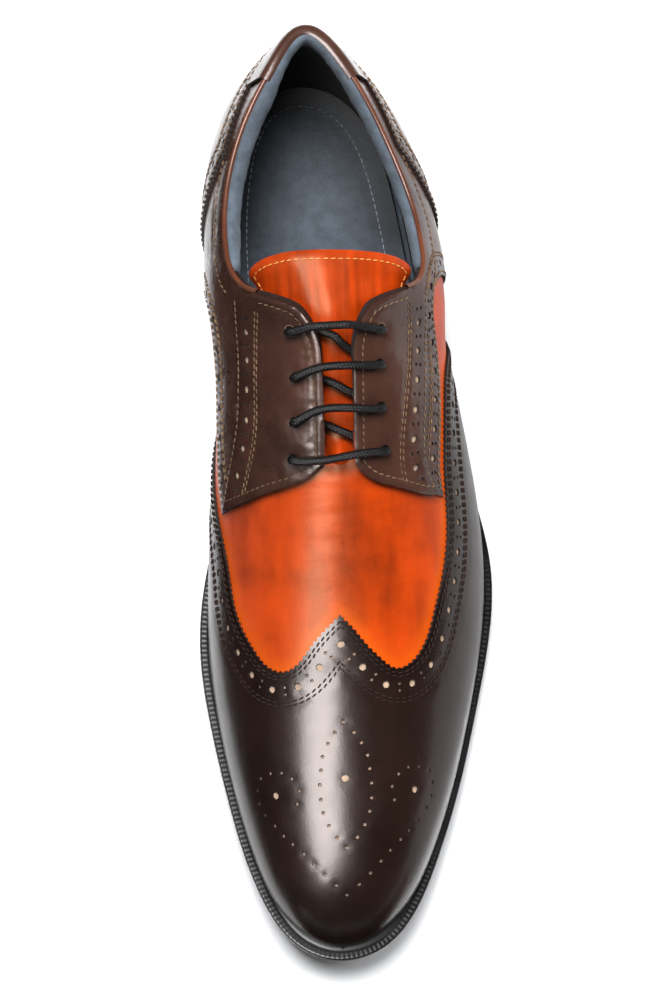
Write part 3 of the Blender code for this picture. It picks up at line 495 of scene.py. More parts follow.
def broguing(sheet, line, side, depth, pair=1.15, first=0, keep=0.95):
    """Holes along a strip inside an edge: a large one, then a pair of small ones across it, in turn."""
    spots = walk(sheet, sidestep(sheet, line, side * depth), mm("hole_pitch") / 2)
    holes = []
    for i in range(first, len(spots)):
        if abs(spots[i, 1]) > keep:
            continue
        if i % 2 == 0:
            holes.append((spots[i], mm("large_hole")))
            continue
        near = spots[max(i - 1, 0):i + 2]
        mid = min(i, 1)
        for way in (-pair, pair):
            holes.append((sidestep(sheet, near, way)[mid], mm("small_hole")))
    return holes


def inside(points, loop):
    """Which points lie inside a closed loop on the sheet."""
    x = points[:, 0][:, None]
    y = points[:, 1][:, None]
    a = loop
    b = np.roll(loop, -1, axis=0)
    span = (a[:, 1] > y) != (b[:, 1] > y)
    rise = np.where(b[:, 1] == a[:, 1], 1.0, b[:, 1] - a[:, 1])
    cross = (b[:, 0] - a[:, 0]) * (y - a[:, 1]) / rise + a[:, 0]
    return (np.sum(span & (x < cross), axis=1) % 2) == 1


def clip(line, low, high):
    """The part of a line whose crown distance lies between two values."""
    return line[(line[:, 1] > low) & (line[:, 1] < high)]


# Cutting panels.

def cut(loop, rings, lines, spacing):
    """Divide a panel on its flat sheet: edge, holes, pressed lines and an even field between them."""
    fixed = [np.asarray(x) * SHEET for x in [loop] + rings + lines]
    verts = []
    edges = []
    kind = []
    for k, pts in enumerate(fixed):
        base = len(verts)
        n = len(pts)
        verts.extend(Vector(p) for p in pts)
        kind.extend([k] * n)
        last = n if k <= len(rings) else n - 1
        edges.extend((base + i, base + (i + 1) % n) for i in range(last))
    tree = KDTree(len(verts))
    for i, v in enumerate(verts):
        tree.insert((v.x, v.y, 0.0), i)
    tree.balance()
    low = fixed[0].min(axis=0)
    high = fixed[0].max(axis=0)
    rows = np.arange(low[1], high[1], spacing * 0.866)
    field = []
    for j, y in enumerate(rows):
        x = np.arange(low[0] + (j % 2) * spacing / 2, high[0], spacing)
        field.append(np.stack([x, np.full(len(x), y)], -1))
    field = np.concatenate(field)
    free = np.ones(len(field), bool)
    for hole in fixed[1:1 + len(rings)]:
        middle = hole.mean(axis=0)
        wide = np.max(np.linalg.norm(hole - middle, axis=1))
        free &= np.linalg.norm(field - middle, axis=1) > wide + 0.3
    for p in field[free]:
        if tree.find((p[0], p[1], 0.0))[2] > 0.55 * spacing:
            verts.append(Vector(p))
            kind.append(-1)
    out = delaunay_2d_cdt(verts, edges, [], 1, 1e-5)
    points = np.array([(v.x, v.y) for v in out[0]]) / SHEET
    tris = np.array(out[2])
    made = np.array([min((kind[i] for i in o), default=-1) for o in out[3]])
    a, b, c = made[tris].T
    hole = (a == b) & (b == c) & (a >= 1) & (a <= len(rings))
    return points, tris[~hole], made


def active(piece):
    """Make a piece the one that operators act on."""
    bpy.ops.object.select_all(action="DESELECT")
    piece.select_set(True)
    bpy.context.view_layer.objects.active = piece


def linked(name, mesh, mats):
    """Hang a finished mesh in the scene as a piece."""
    for made in mats:
        mesh.materials.append(made)
    piece = bpy.data.objects.new(name, mesh)
    bpy.context.scene.collection.objects.link(piece)
    return piece


def mesh_piece(name, verts, faces, mats, weld=2e-6):
    """A piece from millimetre points and faces; points that fall together are joined."""
    mesh = bpy.data.meshes.new(name)
    mesh.from_pydata((np.asarray(verts) * 0.001).tolist(), [], np.asarray(faces).tolist())
    work = bmesh.new()
    work.from_mesh(mesh)
    bmesh.ops.remove_doubles(work, verts=work.verts[:], dist=weld)
    loose = [v for v in work.verts if not v.link_faces]
    bmesh.ops.delete(work, geom=loose, context="VERTS")
    work.to_mesh(mesh)
    work.free()
    return linked(name, mesh, mats)


def grid(rows, n, wrap=False, closed=False, flip=False):
    """Faces between rows of n points; wrap joins each row's ends, closed joins the last row to the first."""
    faces = []
    for k in range(rows if closed else rows - 1):
        m = (k + 1) % rows
        for i in range(n if wrap else n - 1):
            j = (i + 1) % n
            face = (k * n + i, k * n + j, m * n + j, m * n + i)
            faces.append(face[:1] + face[:0:-1] if flip else face)
    return faces


def edit(piece, change, **settings):
    """Run a mesh operator on the whole of a piece."""
    active(piece)
    bpy.ops.object.mode_set(mode="EDIT")
    bpy.ops.mesh.select_all(action="SELECT")
    change(**settings)
    bpy.ops.object.mode_set(mode="OBJECT")


def outward(piece):
    """Turn the faces of a closed piece outward."""
    edit(piece, bpy.ops.mesh.normals_make_consistent, inside=False)


def thicken(piece, thick, rim=1, back=0):
    """Give a sheet its thickness, away from its outside."""
    active(piece)
    shell = piece.modifiers.new("thickness", "SOLIDIFY")
    shell.thickness = thick * 0.001
    shell.offset = -1.0
    shell.material_offset_rim = rim
    shell.material_offset = back
    bpy.ops.object.modifier_apply(modifier=shell.name)


def finish(piece, nodes=(), angle=38.0):
    """Shade a piece and hang it on the shoe."""
    active(piece)
    bpy.ops.object.shade_smooth_by_angle(angle=math.radians(angle))
    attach(piece, "root")
    for name in nodes:
        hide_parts(name)
    return piece


def near_lines(points, lines):
    """Distance in millimetres from points to the nearest of some lines."""
    every = np.concatenate(lines)
    tree = KDTree(len(every))
    for i, p in enumerate(every):
        tree.insert(p, i)
    tree.balance()
    return np.array([tree.find(p)[2] for p in points])


def store_seam_tone_and_painted_shade(piece, lines, reach):
    """Store how near each point lies to the lines, 1 on them and 0 beyond their reach: a tone along the seams
    of the leathers, and painted shade on the lining and insole.
    """
    mesh = piece.data
    place = np.empty(len(mesh.vertices) * 3)
    mesh.vertices.foreach_get("co", place)
    d = near_lines(place.reshape(-1, 3) * 1000, lines)
    store = mesh.attributes.new("seam", "FLOAT", "POINT")
    store.data.foreach_set("value", np.exp(-(d / reach)**1.5))


def panel(name, sheet, loop, holes, lines, high, leather, spacing=2.2, lift=None, flip=False):
    """A leather panel with punched holes; its edges fall off softly and its pressed lines sink in."""
    rings = [ring(sheet, spot, radius, 10 if radius < 1 else 16) for spot, radius in holes]
    points, tris, kind = cut(loop, rings, lines, spacing)
    edge_fall = 0.35
    hole_fall = 0.1
    press = 0.22
    off = np.full(len(points), high)
    off = off - edge_fall * (kind == 0)
    off = off - hole_fall * ((kind > 0) & (kind <= len(rings)))
    off = off - press * (kind > len(rings))
    if lift:
        off = off + lift(points)
    faces = tris[:, ::-1] if flip else tris
    mats = [finish_of(leather), finish_of("dark edge")]
    piece = mesh_piece(name, sheet(points, off), faces, mats)
    thicken(piece, LEATHER)
    return piece


def backing(name, sheet, holes, off, flip=False):
    """Pale leather seen at the bottom of the holes: a disc under each, with painted shade in the narrow ones.
    """
    verts = []
    faces = []
    for spot, radius in holes:
        rim = sheet(ring(sheet, spot, radius + 0.25, 8), off)
        base = len(verts)
        verts.extend(rim)
        order = range(7, -1, -1) if flip else range(8)
        faces.append([base + i for i in order])
    mats = [finish_of("backing"), finish_of("painted shade backing")]
    piece = mesh_piece(name, np.array(verts), faces, mats)
    # The narrow holes take the copy of the backing with painted shade.
    for face, (_, radius) in zip(piece.data.polygons, holes):
        face.material_index = int(radius < 0.8 * mm("large_hole"))
    return piece


def stitch_shape():
    """One stitch, modelled once: a small rounded bar of unit size."""
    bpy.ops.object.select_all(action="DESELECT")
    bpy.ops.mesh.primitive_uv_sphere_add(segments=6, ring_count=5, radius=0.5)
    made = bpy.context.object
    bpy.ops.object.mode_set(mode="EDIT")
    bpy.ops.mesh.select_all(action="SELECT")
    bpy.ops.transform.rotate(value=math.pi / 2, orient_axis="Y", center_override=(0, 0, 0))
    bpy.ops.mesh.quads_convert_to_tris()
    bpy.ops.object.mode_set(mode="OBJECT")
    verts = np.array([v.co[:] for v in made.data.vertices])
    # The sphere's faces come in a new order each run, so they are sorted.
    faces = np.array(sorted(tuple(p.vertices) for p in made.data.polygons))
    bpy.data.objects.remove(made)
    return verts, faces


def sew(name, rows, thread, slant=0.16, width=None):
    """Thread along rows of sheet, line and height: one rounded bar per stitch, set a little aslant."""
    # Share of the thread's width that stands proud of the leather.
    proud = 0.45
    shape, shape_faces = stitch_shape()
    wide = width or mm("thread")
    verts = []
    faces = []
    count = 0
    for sheet, line, off in rows:
        if len(line) < 3:
            continue
        spots = walk(sheet, line, mm("stitch_pitch"))
        if len(spots) < 3:
            continue
        along, left = ways(sheet, spots)[:2]
        flat = sheet(spots, 0.0)
        normal = unit(sheet(spots, 1.0) - flat)
        place = flat + normal * (off + wide * (proud - 0.5))
        a = along * math.cos(slant) + left * math.sin(slant)
        b = np.cross(normal, a)
        block = (place[:, None] + shape[None, :, :1] * a[:, None] * mm("stitch_length")
                 + shape[None, :, 1:2] * b[:, None] * wide + shape[None, :, 2:] * normal[:, None] * wide)
        n = len(spots)
        verts.append(block.reshape(-1, 3))
        steps = (count + np.arange(n) * len(shape))[:, None, None]
        faces.append((shape_faces[None] + steps).reshape(-1, 3))
        count += n * len(shape)
    return mesh_piece(name, np.concatenate(verts), np.concatenate(faces), [finish_of(thread)], weld=1e-7)


def tube(path, radius, sides):
    """Points and faces of a round cord along a path, open at its ends."""
    tangent = unit(np.gradient(path, axis=0))
    angle = np.arange(sides) * 2 * np.pi / sides
    side = np.cross(tangent[0], [0.0, -1.0, 0.2])
    verts = []
    for p, d in zip(path, tangent):
        side = unit(side - d * np.dot(side, d))
        other = np.cross(d, side)
        verts.extend(p + radius * (np.cos(a) * side + np.sin(a) * other) for a in angle)
    return np.array(verts), grid(len(path), sides, True)


# Materials.

def plug(tree, node, inputs):
    """Set a node's values and links."""
    for key, value in inputs.items():
        if isinstance(value, bpy.types.NodeSocket):
            tree.links.new(value, node.inputs[key])
        else:
            node.inputs[key].default_value = value


def add(tree, kind, inputs=None, **settings):
    """Add a node with its settings, values and links."""
    made = tree.nodes.new(kind)
    for key, value in settings.items():
        setattr(made, key, value)
    plug(tree, made, inputs or {})
    return made


def rgba(rgb):
    """A colour with full cover."""
    return (*rgb, 1.0)


def start(name, roughness, coat=0.0, coat_roughness=0.2, specular=0.5, sheen=0.0, tint="#ffffff"):
    """A named material with its constant values on the shader's own sockets."""
    made = bpy.data.materials.new(name)
    made.use_nodes = True
    tree = made.node_tree
    shader = tree.nodes["Principled BSDF"]
    plug(tree, shader, {
        "Roughness": roughness, "IOR": 1.5, "Specular IOR Level": specular,
        "Specular Tint": rgba(linear(tint)), "Coat Weight": coat, "Coat Roughness": coat_roughness,
        "Sheen Weight": sheen,
    })
    place = add(tree, "ShaderNodeTexCoord").outputs["Object"]
    return made, tree, shader, place


def noise(tree, place, size, detail, roughness=0.5):
    """Soft clouds of about a size in metres."""
    values = {"Vector": place, "Scale": 1 / size, "Detail": detail, "Roughness": roughness}
    return add(tree, "ShaderNodeTexNoise", values).outputs[0]


def cells(tree, place, size):
    """Small round cells a size in metres apart, for pores."""
    return add(tree, "ShaderNodeTexVoronoi", {"Vector": place, "Scale": 1 / size}).outputs["Distance"]


def stretched(tree, place, scale):
    """Coordinates drawn out along the axes."""
    return add(tree, "ShaderNodeMapping", {"Vector": place, "Scale": scale}).outputs[0]


def bump(tree, height, strength, distance, under=None):
    """Relief of a depth in metres, over another relief if one is given."""
    values = {"Strength": strength, "Distance": distance, "Height": height}
    if under is not None:
        values["Normal"] = under
    return add(tree, "ShaderNodeBump", values).outputs[0]


def blend(tree, share, first, second):
    """From one colour to another by a share."""
    return add(tree, "ShaderNodeMix", {0: share, 6: first, 7: rgba(second)}, data_type="RGBA").outputs[2]


def between(tree, value, low, high):
    """A value from 0 to 1 spread from low to high."""
    return add(tree, "ShaderNodeMapRange", {0: value, 3: low, 4: high}).outputs[0]


def nearness(tree):
    """The stored nearness to the lines, 1 on them: a tone along the seams of the leathers, and painted shade
    on the lining and insole.
    """
    return add(tree, "ShaderNodeAttribute", attribute_name="seam").outputs["Fac"]


def ramp(tree, value, stops):
    """Colours spread over a value."""
    made = add(tree, "ShaderNodeValToRGB", {"Fac": value})
    bar = made.color_ramp
    while len(bar.elements) < len(stops):
        bar.elements.new(0.5)
    for element, (at, rgb) in zip(bar.elements, stops):
        element.position = at
        element.color = rgba(rgb)
    return made.outputs["Color"]


def shade(rgb, factor):
    """A lighter or darker colour."""
    return tuple(min(1.0, c * factor) for c in rgb)


def polished_calf(name, rgb, roughness, coat, wave=0.05, patchy=0.4):
    """Polished calf: close grain, uneven dye, a wax shine, slight waves and darker burnished seams."""
    made, tree, shader, place = start(name, roughness, coat, 0.23, 0.4, tint="#fff0ea")
    tones = [(0.28, shade(rgb, 1 - patchy)), (0.5, rgb), (0.72, shade(rgb, 1 + patchy))]
    clouds = ramp(tree, noise(tree, place, 0.028, 5.0, 0.6), tones)
    # Pores are about 0.5 mm apart; drawn at 0.9 mm, the finest that shows.
    fine = bump(tree, cells(tree, place, 0.0009), 0.06, 0.0003)
    folds = noise(tree, place, 0.009, 2.0)
    plug(tree, shader, {
        "Base Color": blend(tree, nearness(tree), clouds, shade(rgb, 0.45)),
        "Roughness": between(tree, folds, roughness - 0.07, roughness + 0.1),
        "Normal": bump(tree, folds, wave, 0.0015, fine),
    })
    return made


def patina_calf(name, streak, wrinkle, rim):
    """Hand-dyed calf: orange, red brown rubbed on in clouds and strokes, another tone at the seams, waxed."""
    rgb = colour("vamp")
    made, tree, shader, place = start(name, 0.42, 0.06, 0.25, 0.32, tint="#ffcf9a")
    cloud = noise(tree, place, 0.024, 5.0, 0.6)
    stroke = noise(tree, stretched(tree, place, streak), 0.02, 6.0)
    both = add(tree, "ShaderNodeMix", {0: 0.5, 2: cloud, 3: stroke}).outputs[0]
    tones = [(0.33, colour("burnish")), (0.45, shade(rgb, 0.76)), (0.52, rgb), (0.65, shade(rgb, 1.28))]
    some = add(tree, "ShaderNodeMath", {0: nearness(tree), 1: 0.75}, operation="MULTIPLY").outputs[0]
    # Fine wrinkles about 2 mm apart, over pores drawn at 0.9 mm.
    fine = bump(tree, cells(tree, place, 0.0009), 0.07, 0.0003)
    ripple = noise(tree, stretched(tree, place, wrinkle), 0.004, 3.0)
    plug(tree, shader, {
        "Base Color": blend(tree, some, ramp(tree, both, tones), linear(rim)),
        "Normal": bump(tree, ripple, 0.14, 0.0006, fine),
    })
    return made


def raw_edge(name, code):
    """Cut leather edge: matt fibres, a little uneven."""
    rgb = linear(code)
    made, tree, shader, place = start(name, 0.8)
    tones = [(0.3, shade(rgb, 0.7)), (0.7, shade(rgb, 1.2))]
    plug(tree, shader, {"Base Color": ramp(tree, noise(tree, place, 0.0015, 2.0), tones)})
    return made


def brushed_lining(name, rgb):
    """Brushed lining cloth: soft matt nap, slight worn patches, and painted shade deep inside the shoe."""
    made, tree, shader, place = start(name, 0.9, sheen=0.1, specular=0.2)
    tones = [(0.3, shade(rgb, 0.62)), (0.7, shade(rgb, 1.3))]
    worn = ramp(tree, noise(tree, place, 0.006, 5.0, 0.65), tones)
    # Yarns lie about 0.5 mm apart; drawn at 1 mm so that they show.
    plug(tree, shader, {
        # Painted shade: the cloth darkens near the stored lines deep inside the shoe.
        "Base Color": blend(tree, nearness(tree), worn, shade(rgb, 0.12)),
        "Normal": bump(tree, noise(tree, place, 0.001, 3.0), 0.35, 0.0006),
    })
    return made


def smooth_insole(name, rgb):
    """Insole cover: matt slate leather with a close printed grain, and painted shade along its rim at the
    heel.
    """
    made, tree, shader, place = start(name, 0.7, specular=0.3)
    tones = [(0.3, shade(rgb, 0.75)), (0.7, shade(rgb, 1.25))]
    worn = ramp(tree, noise(tree, place, 0.005, 4.0, 0.7), tones)
    plug(tree, shader, {
        # Painted shade: darker near the stored rim at the heel.
        "Base Color": blend(tree, nearness(tree), worn, shade(rgb, 0.2)),
        "Normal": bump(tree, cells(tree, place, 0.0011), 0.25, 0.0004),
    })
    return made


def sewing_thread(name, rgb):
    """Twisted thread: dull, with a slight change of tone from stitch to stitch."""
    made, tree, shader, place = start(name, 0.75, specular=0.25)
    tones = [(0.3, shade(rgb, 0.6)), (0.7, shade(rgb, 1.25))]
    plug(tree, shader, {"Base Color": ramp(tree, noise(tree, place, 0.004, 2.0), tones)})
    return made


def waxed_lace(name):
    """Waxed cotton lace: black, fine slanting braid that catches small lights."""
    made, tree, shader, _ = start(name, 0.4, 0.0, 0.3, 0.4)
    uv = add(tree, "ShaderNodeUVMap", uv_map="braid").outputs[0]
    cross = []
    for way in (1.0, -1.0):
        turned = add(tree, "ShaderNodeMapping", {"Vector": uv, "Rotation": (0.0, 0.0, way * 0.8)}).outputs[0]
        wave = add(tree, "ShaderNodeTexWave", {"Vector": turned, "Scale": 0.42, "Distortion": 0.0})
        cross.append(wave.outputs["Fac"])
    braid = add(tree, "ShaderNodeMath", {0: cross[0], 1: cross[1]}, operation="MAXIMUM").outputs[0]
    plug(tree, shader, {"Base Color": rgba(linear("#0b0b0c")), "Normal": bump(tree, braid, 0.6, 0.0003)})
    return made


def inked_edge(name, rgb, roughness, coat):
    """Inked and waxed sole edge: near black, with fine lengthwise rubbing marks."""
    made, tree, shader, place = start(name, roughness, coat, 0.25)
    marks = noise(tree, stretched(tree, place, (1.0, 1.0, 8.0)), 0.008, 4.0)
    plug(tree, shader, {
        "Base Color": ramp(tree, marks, [(0.3, shade(rgb, 0.7)), (0.75, shade(rgb, 1.6))]),
        "Roughness": between(tree, marks, roughness - 0.08, roughness + 0.12),
        "Normal": bump(tree, marks, 0.15, 0.0005),
    })
    return made


MADE = {}


def finish_of(name):
    """Each finish is made once and shared."""
    if name not in MADE:
        makers = {
            "wing calf": (polished_calf, "wing_calf", colour("wing"), 0.3, 0.3),
            "quarter calf": (polished_calf, "quarter_calf", colour("quarter"), 0.27, 0.35, 0.4, 0.5),
            "vamp calf": (patina_calf, "vamp_calf", (1.9, 0.45, 0.45), (0.3, 1.5, 0.6), "#cf540a"),
            "tongue calf": (patina_calf, "tongue_calf", (6.0, 0.3, 0.3), (1.0, 0.2, 0.2), "#96300a"),
            "fold calf": (polished_calf, "fold_calf", linear("#5a3323"), 0.3, 0.25, 0.12),
            "dark edge": (raw_edge, "cut_edge_dark", "#1d120e"),
            "rim": (raw_edge, "eyelet_rim", "#6f5747"),
            "backing": (raw_edge, "punch_backing", "#b59a83"),
            # The same pale backing with painted shade, for the narrow holes.
            "painted shade backing": (raw_edge, "punch_backing_dim", "#9a8070"),
            "lining": (brushed_lining, "brushed_lining", colour("lining")),
            "insole": (smooth_insole, "insole_cover", colour("insole")),
            "tan thread": (sewing_thread, "tan_thread", colour("thread")),
            "dark thread": (sewing_thread, "dark_thread", linear("#2a1c16")),
            "orange thread": (sewing_thread, "orange_thread", linear("#e39a4e")),
            "grey thread": (sewing_thread, "grey_thread", linear("#868c93")),
            "lace": (waxed_lace, "waxed_lace"),
            "edge": (inked_edge, "inked_sole_edge", colour("edge"), 0.42, 0.2),
            "rubber": (inked_edge, "black_rubber", colour("edge"), 0.6, 0.0),
        }
        maker, *values = makers[name]
        MADE[name] = maker(*values)
    return MADE[name]


# The pieces.

def sole_loop(count, inset):
    """Welt edge in plan, moved in by a distance: x and station."""
    t = np.linspace(0, 1, count)
    s = station(t, 0, SOLE_LENGTH)
    medial = np.stack([SOLE_EDGES[0](t), s], -1)
    lateral = np.stack([SOLE_EDGES[1](t), s], -1)
    return inset_loop(np.concatenate([medial, lateral[-2:0:-1]]), inset)


def inset_loop(loop, distance):
    """Move a closed plan loop inward by a distance."""
    ahead = np.roll(loop, -1, axis=0) - np.roll(loop, 1, axis=0)
    n = unit(np.stack([-ahead[:, 1], ahead[:, 0]], -1))
    area = np.sum(loop[:, 0] * np.roll(loop[:, 1], -1) - loop[:, 1] * np.roll(loop[:, 0], -1))
    return loop + n * distance * np.sign(area)


def placed(loop, height):
    """Plan loop of x and station at a height, in the shoe's frame."""
    return np.column_stack([loop[:, 0] - CENTRE_X, SOLE_LENGTH / 2 - loop[:, 1], height * np.ones(len(loop))])


def lofted(levels, closed=False):
    """Points and faces through loops in turn; closed joins the last loop to the first."""
    return np.concatenate(levels), grid(len(levels), len(levels[0]), True, closed)


def even_loop(loop, step):
    """Points evenly round a closed plan loop."""
    ring_pts = np.concatenate([loop, loop[:1]])
    length = run_along(ring_pts)
    count = int(round(length[-1] / step))
    return resampled(ring_pts, length, np.arange(count) * length[-1] / count)


def capped(name, levels, mats):
    """A closed piece through plan loops, with flat ends."""
    verts, faces = lofted(levels)
    n = len(levels[0])
    faces.append(tuple(range(n)))
    faces.append(tuple((len(levels) - 1) * n + i for i in range(n)))
    mesh = bpy.data.meshes.new(name)
    mesh.from_pydata((verts * 0.001).tolist(), [], faces)
    piece = linked(name, mesh, mats)
    outward(piece)
    edit(piece, bpy.ops.mesh.quads_convert_to_tris)
    return piece


def round_top(reach, count, inset=0.0):
    """Signed turns round the back out to a station, with the stations and rises of the top edge there."""
    end = float(turn(reach))
    t = np.linspace(-end, end, count)
    s = station(np.abs(t))
    return t, s, np.where(t < 0, top_rise(s, -1, inset), top_rise(s, 1, inset))


def rise_size(t, top):
    """Millimetres that the whole rise stands for at the top edge."""
    _, dv = spread(rear, np.stack([t, np.minimum(top, 0.99)], -1))
    return np.linalg.norm(dv, axis=1)


class BROGUE_OT_sole(bpy.types.Operator):
    """Outsole, wheeled welt, heel of lifts and its top piece"""

    bl_idname = "brogue.sole"
    bl_label = "Sole"

    def execute(self, context):
        edge = [finish_of("edge")]
        base = sole_loop(400, 0.0)
        profile = [(3.0, 0.0), (1.6, 0.12), (0.8, 0.5), (0.45, 1.2), (0.4, 3.0), (0.45, OUTSOLE_THICK - 0.5),
                   (0.9, OUTSOLE_THICK)]
        levels = []
        for inset, height in profile:
            loop = inset_loop(base, inset)
            levels.append(placed(loop, underside(loop[:, 1]) + height))
        bed = inset_loop(base, 9.3)
        levels.append(placed(bed, underside(bed[:, 1]) + OUTSOLE_THICK))
        levels.append(placed(bed, seat(bed[:, 1]) - GAP))
        finish(capped("outsole_edge", levels, edge), ["outsole"])
        self.welt(edge)
        self.heel(edge)
        return {"FINISHED"}

    def welt(self, edge):
        """The welt, with wheel marks pressed across its upper edge."""
        fine = even_loop(sole_loop(600, 0.0), 0.42)
        marks = 0.5 + 0.5 * np.cos(np.arange(len(fine)) * 2 * np.pi / 4)
        profile = [(9.0, -3.2, 0.0), (0.7, -3.2, 0.0), (0.15, -2.9, 0.0), (0.0, -2.2, 0.0), (0.0, -1.2, 0.0),
                   (0.1, -0.5, 0.15), (0.45, -0.1, 0.4), (1.0, 0.0, 1.0), (1.8, 0.0, 1.0), (2.3, 0.0, 0.4),
                   (2.6, -0.1, 0.0), (3.0, -0.35, 0.0), (3.5, -0.1, 0.0), (4.2, 0.0, 0.0), (9.0, 0.0, 0.0)]
        levels = []
        for inset, height, pressed in profile:
            loop = inset_loop(fine, inset)
            levels.append(placed(loop, seat(loop[:, 1]) - GAP + height - 0.18 * pressed * marks))
        verts, faces = lofted(levels, True)
        piece = mesh_piece("welt_wheeled", verts, faces, edge)
        outward(piece)
        finish(piece, ["welt"], 60.0)

    def heel(self, edge):
        """The heel of three lifts with its rubber top piece."""
        t = np.linspace(0, float(turn(HEEL_BREAST, 0, SOLE_LENGTH)), 90)
        s = station(t, 0, SOLE_LENGTH)
        medial = np.stack([SOLE_EDGES[0](t), s], -1)
        lateral = np.stack([SOLE_EDGES[1](t), s], -1)
        across = np.linspace(0, 1, 24)[1:-1, None]
        breast = medial[-1] * (1 - across) + lateral[-1] * across
        breast[:, 1] -= 2.2 * np.sin(np.pi * across[:, 0])
        loop = even_loop(np.concatenate([medial, breast, lateral[:0:-1]]), 1.6)
        share = np.clip(loop[:, 1:] / HEEL_BREAST, 0, 1)
        pull = np.array([[0.0, -0.6]])
        low = TOP_PIECE_THICK + GAP

        def section(inset, part):
            flat = inset_loop(loop, inset)
            flat = flat + pull * share * (1 - part)
            top = underside(flat[:, 1]) - GAP
            return placed(flat, low + (top - low) * part)

        levels = []
        lifts = 3
        for k in range(lifts):
            a = k / lifts
            b = (k + 1) / lifts
            lean = 1.6 - 0.8 * (a + b) / 2
            levels += [section(lean + 0.28, a + 0.001), section(lean, a + 0.035), section(lean, b - 0.035),
                       section(lean + 0.28, b - 0.001)]
        finish(capped("heel_lifts", levels, edge), ["heel_stack"], 50.0)
        rubber = [finish_of("rubber")]
        levels = []
        for inset, height in [(3.2, 0.0), (2.0, 0.1), (1.65, 0.5), (1.6, 3.0), (1.6, 5.6), (1.9, 6.0)]:
            flat = inset_loop(loop, inset) + pull * share
            levels.append(placed(flat, height))
        finish(capped("heel_tip", levels, rubber), ["heel_top_piece"], 50.0)


class BROGUE_OT_insole(bpy.types.Operator):
    """Insole cover with its row of stitches round the heel"""

    bl_idname = "brogue.insole"
    bl_label = "Insole"

    def execute(self, context):
        t = np.linspace(0, 1, 240)
        medial = wall(t, -np.ones(240), np.zeros(240))[:, :2]
        lateral = wall(t, np.ones(240), np.zeros(240))[:, :2]
        plan = inset_loop(np.concatenate([medial, lateral[-2:0:-1]]), 2.4)
        plan = even_loop(plan, 2.0)
        inner = even_loop(inset_loop(plan, 6.2), 2.0)
        scale = 1.0 / SHEET
        points, tris, kind = cut(plan * scale, [], [inner * scale], 3.0)
        flat = points / scale
        rim = np.column_stack([plan, np.zeros(len(plan))])
        d = near_lines(np.column_stack([flat, np.zeros(len(flat))]), [rim])
        s = SOLE_LENGTH / 2 - flat[:, 1]
        z = seat(s) + GAP + 3.0 + 1.6 * np.exp(-(d / 4.0)**2) - 0.3 * (kind == 1)
        piece = mesh_piece("insole_cover", np.column_stack([flat, z]), tris, [finish_of("insole")])
        thicken(piece, 2.8, 0)
        # Painted shade round the heel end of the insole, under the heel's walls.
        back = plan[(plan[:, 1] > 95.0)]
        store_seam_tone_and_painted_shade(piece, [np.column_stack([back, seat(SOLE_LENGTH / 2 - back[:, 1]) + 4.0])], 13.0)
        finish(piece, ["insole"])

        def sheet(p, off=0.0):
            s = SOLE_LENGTH / 2 - p[:, 1]
            return np.column_stack([p, seat(s) + GAP + 2.85 + off])

        rows = [(sheet, inner[inner[:, 1] > 20.0], 0.0)]
        finish(sew("insole_stitches", rows, "grey thread", slant=0.0))
        return {"FINISHED"}


